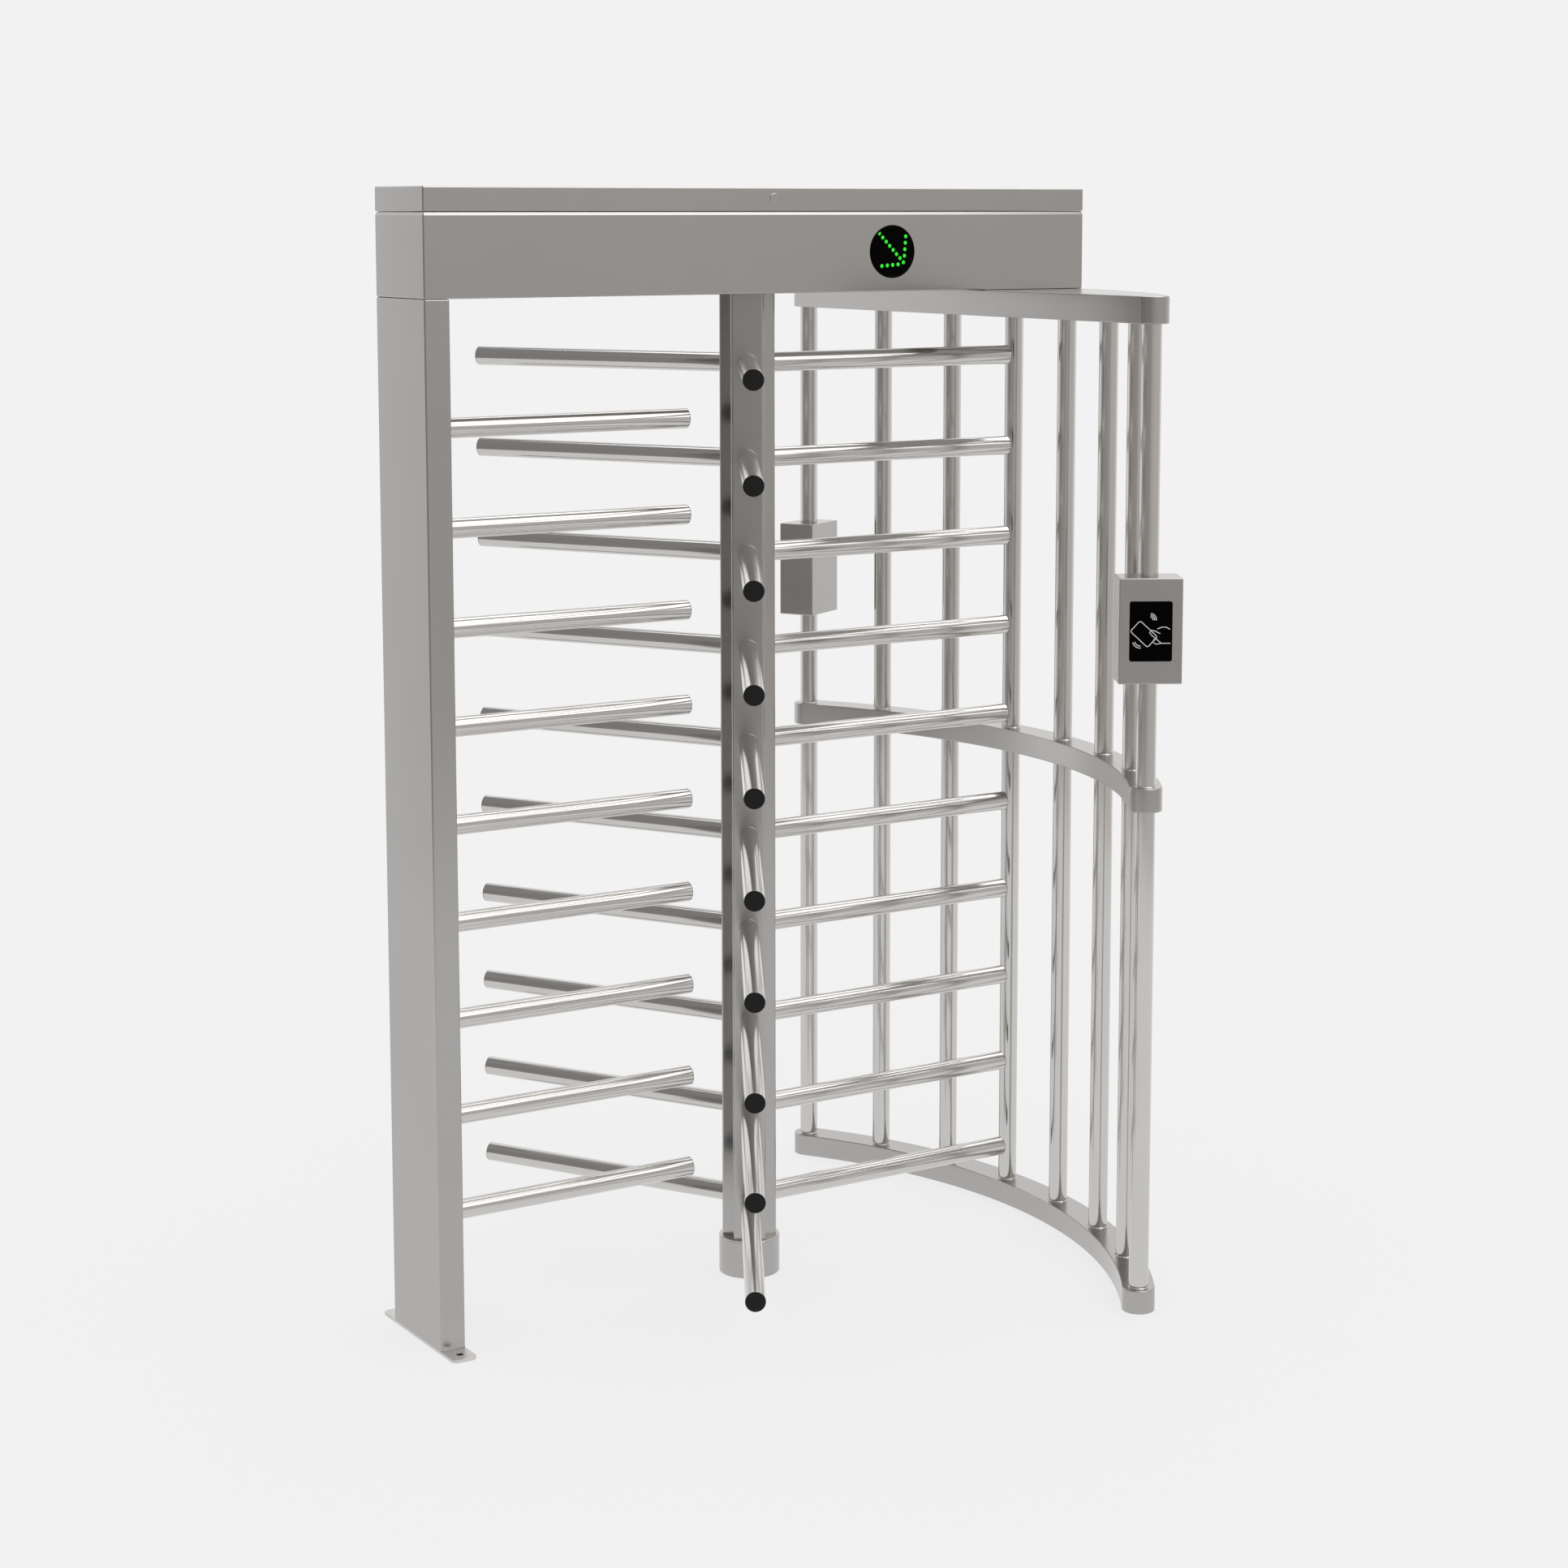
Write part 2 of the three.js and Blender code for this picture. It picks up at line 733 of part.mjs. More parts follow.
// Toothed wheels: each tooth has a root and a tip flat
function toothedWheel(teeth, bore, phase) {
  const pitchRadius = (gearModule * teeth) / 2;
  const tip = pitchRadius + gearModule - gearBacklash;
  const root = pitchRadius - (5 * gearModule) / 4;
  const rootShare = 0.29;
  const tipShare = 0.13;
  const outline = [];
  for (let tooth = 0; tooth < teeth; tooth += 1) {
    const centre = ((tooth + phase) * 2 * Math.PI) / teeth;
    const pitchAngle = (2 * Math.PI) / teeth;
    outline.push(polar(root, centre - rootShare * pitchAngle));
    outline.push(polar(tip, centre - tipShare * pitchAngle));
    outline.push(polar(tip, centre + tipShare * pitchAngle));
    outline.push(polar(root, centre + rootShare * pitchAngle));
  }
  const hole = roundBar(bore + seatGap, -cutOverrun, gearWidth + 2 * cutOverrun);
  return cut(raised(outline, 0, gearWidth), hole).translate(0, 0, gearBottom);
}
const gearCentres = (gearModule * (gearTeeth + pinionTeeth)) / 2;
addPiece("rotor_gear", toothedWheel(gearTeeth, shaftRadius, 0), bearingSteel);
const damperPinion = toothedWheel(pinionTeeth, damperShaftRadius, 1 / 2);
addPiece("damper_pinion", damperPinion, bearingSteel).position.x = -gearCentres;
const damperProfile = [
  [0, floorTop + seatGap],
  [damperRadius, floorTop + seatGap],
  [damperRadius, gearBottom - seatGap],
  [damperShaftRadius, gearBottom - seatGap],
  [damperShaftRadius, gearBottom + gearWidth],
  [0, gearBottom + gearWidth],
];
const damper = addPiece("rotary_damper", turned(damperProfile, tubeSides), castAluminium);
damper.position.x = -gearCentres;
addPiece(
  "top_bearing",
  tube(
    topBearingOuter,
    shaftRadius + seatGap,
    floorTop + seatGap,
    topBearingHeight,
    roundSides,
  ),
  castAluminium,
);

// Index disc: the pawl drops into one of its notches
function indexDisc() {
  const notches = [];
  for (let notch = 0; notch < notchCount; notch += 1) {
    const block = boxBetween(
      new THREE.Vector3(discRadius - notchDepth, -notchWidth / 2, -cutOverrun),
      new THREE.Vector3(discRadius + cutOverrun, notchWidth / 2, discThickness + cutOverrun),
    );
    notches.push(block.rotateZ((notch * 2 * Math.PI) / notchCount));
  }
  const bore = roundBar(
    shaftRadius + seatGap,
    -cutOverrun,
    discThickness + 2 * cutOverrun,
  );
  return cut(roundBar(discRadius, 0, discThickness, 2 * roundSides), bore, ...notches);
}
addPiece("index_disc", indexDisc(), bearingSteel).position.z = discBottom;

// Lock pawl: a lever on a stepped pin, with a nose that points at the disc.
// The nose hangs below the disc's centre line, so that it swings up into a notch.
const pawlBarLow = pawlPivot.x - pawlBarWidth / 2;
const pawlBarHigh = pawlPivot.x + pawlBarWidth / 2;
const noseReach = pawlPivot.x - discRadius - noseGap;
const noseDrop = noseReach * Math.sin(pawlSwing) + pawlPivot.y * (1 - Math.cos(pawlSwing));
function lockPawl() {
  const bar = boxBetween(
    new THREE.Vector3(pawlBarLow, -pawlTail, 0),
    new THREE.Vector3(pawlBarHigh, pawlPivot.y, discThickness),
  );
  const nose = boxBetween(
    new THREE.Vector3(pawlPivot.x - noseReach, -noseDrop - noseWidth / 2, 0),
    new THREE.Vector3(pawlPivot.x, -noseDrop + noseWidth / 2, discThickness),
  );
  const eye = roundBar(pawlEyeRadius, 0, discThickness).translate(pawlPivot.x, pawlPivot.y, 0);
  const bore = roundBar(
    pawlPinRadius + seatGap,
    -cutOverrun,
    discThickness + 2 * cutOverrun,
    tubeSides,
  );
  return cut(join(bar, nose, eye), bore.translate(pawlPivot.x, pawlPivot.y, 0));
}
addPiece("lock_pawl", lockPawl(), bearingSteel).position.z = discBottom;
const pinProfile = [
  [0, floorTop + seatGap],
  [pawlStemRadius, floorTop + seatGap],
  [pawlStemRadius, discBottom - seatGap],
  [pawlPinRadius, discBottom - seatGap],
  [pawlPinRadius, discBottom + discThickness],
  [0, discBottom + discThickness],
];
const pawlPin = addPiece("pawl_pin", turned(pinProfile, tubeSides), bearingSteel);
pawlPin.position.set(pawlPivot.x, pawlPivot.y, 0);

// Solenoid: its plunger pushes the pawl's tail
const plungerZ = discBottom + discThickness / 2;
function solenoidBody() {
  const body = boxBetween(
    new THREE.Vector3(0, -solenoidWidth / 2, plungerZ - solenoidHalfHeight),
    new THREE.Vector3(solenoidLength, solenoidWidth / 2, plungerZ + solenoidHalfHeight),
  );
  const foot = boxBetween(
    new THREE.Vector3(solenoidFoot, -solenoidWidth / 2, floorTop + seatGap),
    new THREE.Vector3(solenoidLength - solenoidFoot, solenoidWidth / 2, plungerZ),
  );
  const bore = roundBar(
    plungerRadius + plungerFit,
    -cutOverrun,
    plungerLength - solenoidStart + pawlBarHigh + 2 * cutOverrun,
    tubeSides,
  );
  return cut(join(body, foot), bore.rotateY(Math.PI / 2).translate(0, 0, plungerZ));
}
addPiece("solenoid_body", solenoidBody(), castAluminium).position.set(solenoidStart, -plungerDrop, 0);
const plunger = roundBar(plungerRadius, pawlBarHigh + seatGap, plungerLength, tubeSides);
const plungerPiece = addPiece("solenoid_plunger", plunger.rotateY(Math.PI / 2), bearingSteel);
plungerPiece.position.set(0, -plungerDrop, plungerZ);

// Electronics: a board on four standoffs and a boxed power supply
function controlBoard() {
  const bottom = floorTop + seatGap;
  const half = new THREE.Vector2(boardLength / 2, boardWidth / 2);
  const boardLow = bottom + standoffHeight;
  const board = boxBetween(
    new THREE.Vector3(-half.x, -half.y, boardLow),
    new THREE.Vector3(half.x, half.y, boardLow + boardThickness),
  );
  const standoffs = [];
  for (const sideX of [-1, 1]) {
    for (const sideY of [-1, 1]) {
      const length = standoffHeight + boardThickness / 2;
      const standoff = roundBar(standoffRadius, bottom, length, holeSides);
      standoffs.push(
        standoff.translate(
          sideX * (half.x - standoffInset),
          sideY * (half.y - standoffInset),
          0,
        ),
      );
    }
  }
  return join(board, ...standoffs);
}
addPiece("control_board", controlBoard(), boardGreen).position.x = -boardOffset;
const supply = boxBetween(
  new THREE.Vector3(-supplyLength / 2, -supplyWidth / 2, floorTop + seatGap),
  new THREE.Vector3(supplyLength / 2, supplyWidth / 2, floorTop + supplyHeight),
);
addPiece("power_supply", supply, blackPlastic).position.x = supplyX;

export default turnstile;
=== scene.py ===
"""A full height turnstile of stainless steel, dressed for its picture.

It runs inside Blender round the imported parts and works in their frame: metres, +Z up.
The rotor turns about the Z axis, and people walk through along Y.
"""

import math

import bmesh
import bpy
from mathutils import Matrix, Vector


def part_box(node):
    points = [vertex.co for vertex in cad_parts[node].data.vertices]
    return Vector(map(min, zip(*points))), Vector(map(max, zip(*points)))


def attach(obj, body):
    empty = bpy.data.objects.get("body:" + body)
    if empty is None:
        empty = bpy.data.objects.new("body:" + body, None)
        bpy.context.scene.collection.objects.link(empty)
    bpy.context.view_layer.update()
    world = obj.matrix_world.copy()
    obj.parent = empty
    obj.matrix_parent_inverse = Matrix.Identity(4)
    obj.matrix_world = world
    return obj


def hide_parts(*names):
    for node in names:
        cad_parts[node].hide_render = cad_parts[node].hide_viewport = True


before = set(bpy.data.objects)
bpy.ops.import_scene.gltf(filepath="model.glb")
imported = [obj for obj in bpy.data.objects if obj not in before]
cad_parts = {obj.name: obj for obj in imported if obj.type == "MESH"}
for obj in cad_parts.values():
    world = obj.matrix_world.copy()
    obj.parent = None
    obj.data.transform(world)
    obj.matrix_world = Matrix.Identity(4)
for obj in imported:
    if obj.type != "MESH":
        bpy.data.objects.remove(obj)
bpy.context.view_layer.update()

# Rotor post
# An upright of stainless sheet, brushed along its length: three folded channels, one for
# each wing, welded together down the notches between them.
MM = 0.001
QUARTER = math.pi / 2
WING_COUNT = 3
WING_STEP = 2 * math.pi / WING_COUNT
POST_FACE = 64 * MM
POST_REACH = 45.6 * MM
POST_WALL = 3 * MM
POST_FOLD = 5.5 * MM
POST_FOLD_STEPS = 6
POST_END_EDGE = 0.5 * MM
POST_DROP = 0.2 * MM
POST_RISE = 5.6 * MM
CREASE_ANGLE = math.radians(24)
ROUNDED_ANGLE = math.radians(40)
FLAT_FACE_WEIGHT = 80
SATIN_TINT = (0.46, 0.448, 0.436)
SATIN_ROUGHNESS = 0.23
GRAIN_LINES = 420.0
GRAIN_RUN = 3.0
GRAIN_ALONG_X = (GRAIN_RUN, GRAIN_LINES, GRAIN_LINES)
GRAIN_ALONG_Z = (GRAIN_LINES, GRAIN_LINES, GRAIN_RUN)
GRAIN_LEVEL = (GRAIN_RUN, GRAIN_RUN, GRAIN_LINES)
GRAIN_EVEN = (GRAIN_LINES, GRAIN_LINES, GRAIN_LINES)
GRAIN_DEPTH = 0.05
GRAIN_HEIGHT = 0.1 * MM
GRAIN_SPREAD = 0.035
BLOTCH_SIZE = 5.0
BLOTCH_DETAIL = 3
BLOTCH_SHADE = 0.93


def join(source, output, target, socket):
    """Feeds one node's output into a socket of another."""
    source.id_data.links.new(source.outputs[output], target.inputs[socket])


def set_inputs(node, **values):
    """Sets a node's sockets, named with underscores for spaces."""
    for label, value in values.items():
        node.inputs[label.replace("_", " ")].default_value = value


def new_effect(name, inputs, outputs):
    """A shader node group with named sockets, and its two end nodes."""
    group = bpy.data.node_groups.new(name, "ShaderNodeTree")
    for label, kind, value in inputs:
        socket = group.interface.new_socket(label, in_out="INPUT", socket_type=kind)
        socket.default_value = value
    for label, kind in outputs:
        group.interface.new_socket(label, in_out="OUTPUT", socket_type=kind)
    return group, group.nodes.new("NodeGroupInput"), group.nodes.new("NodeGroupOutput")


def brushed_grain():
    """Fine lines left by a polishing belt: a mask, and a normal that leans over them."""
    group, start, end = new_effect(
        "brushed_grain",
        [
            ("Lines per metre", "NodeSocketVector", GRAIN_ALONG_Z),
            ("Depth", "NodeSocketFloat", GRAIN_DEPTH),
        ],
        [("Lines", "NodeSocketFloat"), ("Normal", "NodeSocketVector")],
    )
    place = group.nodes.new("ShaderNodeTexCoord")
    stretch = group.nodes.new("ShaderNodeVectorMath")
    stretch.operation = "MULTIPLY"
    lines = group.nodes.new("ShaderNodeTexNoise")
    set_inputs(lines, Scale=1)
    bump = group.nodes.new("ShaderNodeBump")
    set_inputs(bump, Distance=GRAIN_HEIGHT)
    join(place, "Object", stretch, 0)
    join(start, "Lines per metre", stretch, 1)
    join(stretch, "Vector", lines, "Vector")
    join(lines, "Fac", bump, "Height")
    join(start, "Depth", bump, "Strength")
    join(lines, "Fac", end, "Lines")
    join(bump, "Normal", end, "Normal")
    return group


def polish_blotches():
    """Broad cloudy patches where the polish is a little duller."""
    group, start, end = new_effect(
        "polish_blotches",
        [("Patches per metre", "NodeSocketFloat", BLOTCH_SIZE)],
        [("Patches", "NodeSocketFloat")],
    )
    place = group.nodes.new("ShaderNodeTexCoord")
    clouds = group.nodes.new("ShaderNodeTexNoise")
    set_inputs(clouds, Detail=BLOTCH_DETAIL)
    join(place, "Object", clouds, "Vector")
    join(start, "Patches per metre", clouds, "Scale")
    join(clouds, "Fac", end, "Patches")
    return group


GRAIN = brushed_grain()
BLOTCHES = polish_blotches()


def new_material(name):
    """A material with its nodes and its surface shader."""
    material = bpy.data.materials.new(name)
    material.use_nodes = True
    nodes = material.node_tree.nodes
    return material, nodes, nodes["Principled BSDF"]


def place_effect(nodes, group, **values):
    """Puts a node group into a material with its own values."""
    node = nodes.new("ShaderNodeGroup")
    node.node_tree = group
    set_inputs(node, **values)
    return node


def vary_roughness(nodes, surface, effect, output, roughness, vary):
    """Lets an effect's mask move a surface's roughness a little either way."""
    spread = nodes.new("ShaderNodeMapRange")
    set_inputs(spread, To_Min=roughness - vary, To_Max=roughness + vary)
    join(effect, output, spread, "Value")
    join(spread, "Result", surface, "Roughness")


def brushed_metal(name, tint, roughness, lines, depth=GRAIN_DEPTH, vary=GRAIN_SPREAD):
    """A bare metal: its tint and roughness vary with the grain and with soft patches."""
    material, nodes, surface = new_material(name)
    set_inputs(surface, Metallic=1)
    grain = place_effect(nodes, GRAIN, Lines_per_metre=lines, Depth=depth)
    patches = place_effect(nodes, BLOTCHES, Patches_per_metre=BLOTCH_SIZE)
    tone = nodes.new("ShaderNodeMix")
    tone.data_type = "RGBA"
    set_inputs(tone, A=(*tint, 1), B=(*[share * BLOTCH_SHADE for share in tint], 1))
    join(patches, "Patches", tone, "Factor")
    join(tone, "Result", surface, "Base Color")
    vary_roughness(nodes, surface, grain, "Lines", roughness, vary)
    join(grain, "Normal", surface, "Normal")
    return material


upright_steel = brushed_metal("satin_steel_upright", SATIN_TINT, SATIN_ROUGHNESS, GRAIN_ALONG_Z)


def place_object(name, data):
    """Puts a mesh, a curve or the camera into the scene."""
    thing = bpy.data.objects.new(name, data)
    bpy.context.scene.collection.objects.link(thing)
    return thing


def add_prism(mesh, corners, bottom, top, place=None):
    """A closed upright prism over a plan outline that runs anticlockwise."""
    low = [mesh.verts.new((x, y, bottom)) for x, y in corners]
    high = [mesh.verts.new((x, y, top)) for x, y in corners]
    mesh.faces.new(list(reversed(low)))
    mesh.faces.new(high)
    for near, far in zip(range(-1, len(corners) - 1), range(len(corners))):
        mesh.faces.new((low[near], low[far], high[far], high[near]))
    if place is not None:
        bmesh.ops.transform(mesh, matrix=place, verts=low + high)


def add_wrapped(mesh, outline, profile, hollow=True):
    """Sheet wrapped round a plan outline. Its profile is a list of (inset, height)."""
    rings = []
    for inset, height in profile:
        rings.append([mesh.verts.new((x, y, height)) for x, y in outline(inset)])
    for ring, following in zip(rings, rings[1:] + rings[:1] if hollow else rings[1:]):
        for near, far in zip(range(-1, len(ring) - 1), range(len(ring))):
            mesh.faces.new((ring[near], ring[far], following[far], following[near]))
    if not hollow:
        mesh.faces.new(rings[0])
        mesh.faces.new(rings[-1])


def round_edges(piece, edge, steps=2):
    """Rounds the sharp edges and keeps the flat faces flat in shading."""
    if edge:
        rounding = piece.modifiers.new("rounded edges", "BEVEL")
        rounding.width = edge
        rounding.segments = steps
        rounding.limit_method = "ANGLE"
        rounding.angle_limit = ROUNDED_ANGLE
        rounding.miter_outer = "MITER_ARC"
    flatness = piece.modifiers.new("flat faces", "WEIGHTED_NORMAL")
    flatness.keep_sharp = True
    flatness.weight = FLAT_FACE_WEIGHT


def make_piece(name, mesh, material, body, nodes=(), edge=0.0, steps=2):
    """Makes a smooth-shaded object of a finished mesh, rounds its edges and mounts it."""
    data = bpy.data.meshes.new(name)
    bmesh.ops.recalc_face_normals(mesh, faces=mesh.faces)
    mesh.to_mesh(data)
    mesh.free()
    data.shade_smooth()
    if not edge:
        data.set_sharp_from_angle(angle=CREASE_ANGLE)
    data.materials.append(material)
    piece = place_object(name, data)
    round_edges(piece, edge, steps)
    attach(piece, body)
    if nodes:
        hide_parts(*nodes)
    return piece


def arc(x, y, radius, start, end, steps):
    """Points along an arc about (x, y), from one angle to another."""
    points = []
    for step in range(steps + 1):
        angle = start + step / steps * (end - start)
        points.append((x + radius * math.cos(angle), y + radius * math.sin(angle)))
    return points


def post_outline(inset):
    """The post's plan: a channel with folded corners for each wing, and a notch between."""
    bend = POST_FOLD - inset
    corners = []
    for wing in range(WING_COUNT):
        facing = Matrix.Rotation(wing * WING_STEP, 2)
        for side in (-1, 1):
            x = POST_REACH - inset - bend
            y = side * (POST_FACE / 2 - inset - bend)
            start = (side - 1) / 2 * QUARTER
            for point in arc(x, y, bend, start, start + QUARTER, POST_FOLD_STEPS):
                corners.append(facing @ Vector(point))
        turn = WING_STEP / 2
        notch = (POST_FACE / 2 - inset) / math.sin(turn)
        corners.append(facing @ Vector((notch * math.cos(turn), notch * math.sin(turn))))
    return corners


post_low, post_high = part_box("rotor_post")
post_foot = post_low.z - POST_DROP
post_top = post_high.z + POST_RISE
shell = bmesh.new()
add_wrapped(
    shell,
    post_outline,
    [(0, post_foot), (0, post_top), (POST_WALL, post_top), (POST_WALL, post_foot)],
)
make_piece(
    "rotor_upright", shell, upright_steel, "rotor", ["rotor_post"], POST_END_EDGE
)

# Rotor arms
# Ten tiers of three arms in polished 38 mm stainless tube, set into the post and welded
# round. A black moulded cap is pressed into the end of each arm.
TIER_COUNT = 10
TUBE_RADIUS = 19 * MM
TUBE_WALL = 2 * MM
TUBE_SEGMENTS = 64
TUBE_END_EDGE = 0.5 * MM
ARM_ROOT = 24 * MM
WELD_THROAT = 0.5 * MM
WELD_STEPS = 5
TUBE_TRIM = 2.2 * MM
CAP_HEAD = 0.8 * MM
CAP_EDGE = 0.5 * MM
RIM_STEPS = 4
CAP_DOME = 0.25 * MM
CAP_PLUG = 12 * MM
CAP_FIT = 0.15 * MM
POLISHED_TINT = (0.64, 0.623, 0.606)
POLISHED_ROUGHNESS = 0.15
POLISHED_SPREAD = 0.02
POLISH_DEPTH = 0.003
CAP_BLACK = (0.006, 0.006, 0.006)
CAP_ROUGHNESS = 0.5
CAP_GLOSS = 0.2
MOULDED_GLOSS = 0.5
MOULDED_PATCHES = 60.0


def polished_metal(name, lines):
    """The bright tube, whose grain hardly shows."""
    return brushed_metal(
        name, POLISHED_TINT, POLISHED_ROUGHNESS, lines, POLISH_DEPTH, POLISHED_SPREAD
    )


def moulded_plastic(name, tint, roughness, gloss=MOULDED_GLOSS):
    """A plain moulding with a faintly uneven skin."""
    material, nodes, surface = new_material(name)
    set_inputs(surface, Base_Color=(*tint, 1), Specular_IOR_Level=gloss)
    patches = place_effect(nodes, BLOTCHES, Patches_per_metre=MOULDED_PATCHES)
    vary_roughness(nodes, surface, patches, "Patches", roughness, GRAIN_SPREAD)
    return material


arm_steel = polished_metal("polished_steel_arm", GRAIN_LEVEL)
cap_plastic = moulded_plastic("black_cap_plastic", CAP_BLACK, CAP_ROUGHNESS, CAP_GLOSS)
lying_along_x = Matrix.Rotation(QUARTER, 4, "Y")


def add_turned(mesh, profile, place=None, segments=TUBE_SEGMENTS):
    """A turned solid about local Z. Its profile is a closed loop of (radius, height)."""
    rings = []
    for radius, height in profile:
        if radius == 0:
            rings.append([mesh.verts.new((0, 0, height))] * segments)
            continue
        angles = [2 * math.pi * step / segments for step in range(segments)]
        rings.append(
            [mesh.verts.new((radius * math.cos(a), radius * math.sin(a), height)) for a in angles]
        )
    for ring, following in zip(rings, rings[1:] + rings[:1]):
        for near, far in zip(range(-1, segments - 1), range(segments)):
            corners = (ring[near], ring[far], following[far], following[near])
            distinct = list(dict.fromkeys(corners))
            if len(distinct) > 2:
                mesh.faces.new(distinct)
    if place is not None:
        verts = list({vert for ring in rings for vert in ring})
        bmesh.ops.transform(mesh, matrix=place, verts=verts)


def rounded_rim(radius, height, edge):
    """A quarter round inside the corner (radius, height), from side to top."""
    return arc(radius - edge, height - edge, edge, 0, QUARTER, RIM_STEPS)


def tube_profile(start, end):
    """A tube's wall with its two outer corners just broken."""
    bore = TUBE_RADIUS - TUBE_WALL
    broken = TUBE_RADIUS - TUBE_END_EDGE
    return [
        (bore, start), (broken, start), (TUBE_RADIUS, start + TUBE_END_EDGE),
        (TUBE_RADIUS, end - TUBE_END_EDGE), (broken, end), (bore, end),
    ]


def weld_profile(foot, throat=WELD_THROAT):
    """A round weld bead in the corner between a tube and the face at height foot."""
    root = (TUBE_RADIUS - throat / 2, foot - throat / 2)
    return [root] + arc(TUBE_RADIUS, foot, throat, 0, QUARTER, WELD_STEPS)


def end_cap_profile(seat):
    """A cap whose domed head closes the tube's end, with a plug pressed into the bore."""
    plug = TUBE_RADIUS - TUBE_WALL - CAP_FIT
    top = seat + CAP_HEAD
    head = rounded_rim(TUBE_RADIUS, top - CAP_DOME, CAP_EDGE)
    stem = [(0, seat - CAP_PLUG), (plug, seat - CAP_PLUG), (plug, seat), (TUBE_RADIUS, seat)]
    return stem + head + [(TUBE_RADIUS / 2, top - CAP_DOME / 4), (0, top)]


for tier in range(1, TIER_COUNT + 1):
    node = f"rotor_arm_tier_{tier}"
    tier_low, tier_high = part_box(node)
    trimmed = tier_high.x + TUBE_TRIM
    arms = bmesh.new()
    welds = bmesh.new()
    caps = bmesh.new()
    for wing in range(WING_COUNT):
        outward = Matrix.Translation((0, 0, (tier_low.z + tier_high.z) / 2))
        outward @= Matrix.Rotation(wing * WING_STEP, 4, "Z") @ lying_along_x
        add_turned(arms, tube_profile(ARM_ROOT, trimmed), outward)
        add_turned(welds, weld_profile(POST_REACH), outward)
        add_turned(caps, end_cap_profile(trimmed), outward)
    make_piece(f"arms_tier_{tier}", arms, arm_steel, "rotor", [node])
    make_piece(f"arm_welds_tier_{tier}", welds, upright_steel, "rotor")
    make_piece(f"arm_caps_tier_{tier}", caps, cap_plastic, "rotor")

# Rotor foot
# A turned stainless cup is bolted to the floor and carries the pivot and its bearing.
# A cast plug closes the post's foot and turns on the bearing.
CUP_HEIGHT = 74 * MM
CUP_CHAMFER = 0.8 * MM
CUP_FOOT_EDGE = 1 * MM
TOP_RING = 1.6 * MM
BROAD_SEGMENTS = 96
PIVOT_RADIUS = 15 * MM
RUNNING_GAP = 0.3 * MM
BEARING_EDGE = 0.8 * MM
SEAL_GROOVE = 1.2 * MM
SEAL_REACH = 3.6 * MM
PLUG_EDGE = 1.5 * MM
FACED_TINT = (0.7, 0.685, 0.67)
FACED_ROUGHNESS = 0.42
TURNED_ROUGHNESS = 0.2
GROUND_TINT = (0.55, 0.555, 0.56)
GROUND_ROUGHNESS = 0.2
CAST_TINT = (0.32, 0.325, 0.33)
CAST_ROUGHNESS = 0.48
CAST_DEPTH = 0.25

faced_steel = brushed_metal(
    "faced_steel_ring", FACED_TINT, FACED_ROUGHNESS, GRAIN_ALONG_Z, POLISH_DEPTH
)
turned_steel = brushed_metal(
    "satin_steel_turned", SATIN_TINT, TURNED_ROUGHNESS, GRAIN_LEVEL, POLISH_DEPTH
)
ground_steel = brushed_metal(
    "ground_bearing_steel", GROUND_TINT, GROUND_ROUGHNESS, GRAIN_EVEN, POLISH_DEPTH
)
cast_metal = brushed_metal("cast_aluminium", CAST_TINT, CAST_ROUGHNESS, GRAIN_EVEN, CAST_DEPTH)


def make_turned(
    name, profile, material, body, nodes=(), place=None, segments=TUBE_SEGMENTS, edge=0.0
):
    """Makes a piece of a single turned solid."""
    mesh = bmesh.new()
    add_turned(mesh, profile, place, segments)
    make_piece(name, mesh, material, body, nodes, edge)


cup_low, cup_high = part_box("foot_cup")
bearing_low, bearing_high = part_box("foot_bearing")
plug_low, plug_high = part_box("rotor_foot_plug")
cup_rim = cup_high.x - CUP_CHAMFER
cup_top = cup_low.z + CUP_HEIGHT
pocket = bearing_high.x + RUNNING_GAP
cup_profile = [
    (0, cup_low.z), (cup_high.x - CUP_FOOT_EDGE, cup_low.z),
    (cup_high.x, cup_low.z + CUP_FOOT_EDGE), (cup_high.x, cup_top - CUP_CHAMFER),
    (cup_rim, cup_top), (pocket, cup_top), (pocket, bearing_low.z),
    (PIVOT_RADIUS, bearing_low.z), (PIVOT_RADIUS, cup_high.z - CUP_FOOT_EDGE),
    (PIVOT_RADIUS - CUP_FOOT_EDGE, cup_high.z), (0, cup_high.z),
]
make_turned(
    "rotor_cup", cup_profile, turned_steel, "frame", ["foot_cup"],
    segments=BROAD_SEGMENTS,
)
ring_top = cup_top + TOP_RING
ring_profile = [(pocket, cup_top), (cup_rim, cup_top), (cup_rim, ring_top), (pocket, ring_top)]
make_turned(
    "cup_top_ring", ring_profile, faced_steel, "frame", segments=BROAD_SEGMENTS
)

race_bore = PIVOT_RADIUS + RUNNING_GAP
seal_middle = (PIVOT_RADIUS + bearing_high.x) / 2
seal_floor = bearing_high.z - SEAL_GROOVE
race_profile = [
    (race_bore, bearing_low.z), (bearing_high.x, bearing_low.z),
    (bearing_high.x, bearing_high.z - BEARING_EDGE),
    (bearing_high.x - BEARING_EDGE, bearing_high.z), (seal_middle + SEAL_REACH, bearing_high.z),
    (seal_middle + SEAL_REACH, seal_floor), (seal_middle - SEAL_REACH, seal_floor),
    (seal_middle - SEAL_REACH, bearing_high.z), (race_bore, bearing_high.z),
]
make_turned("foot_race", race_profile, ground_steel, "frame", ["foot_bearing"])
plug_profile = [
    (race_bore, plug_low.z), (plug_high.x, plug_low.z), (plug_high.x, plug_high.z - PLUG_EDGE),
    (plug_high.x - PLUG_EDGE, plug_high.z), (race_bore, plug_high.z),
]
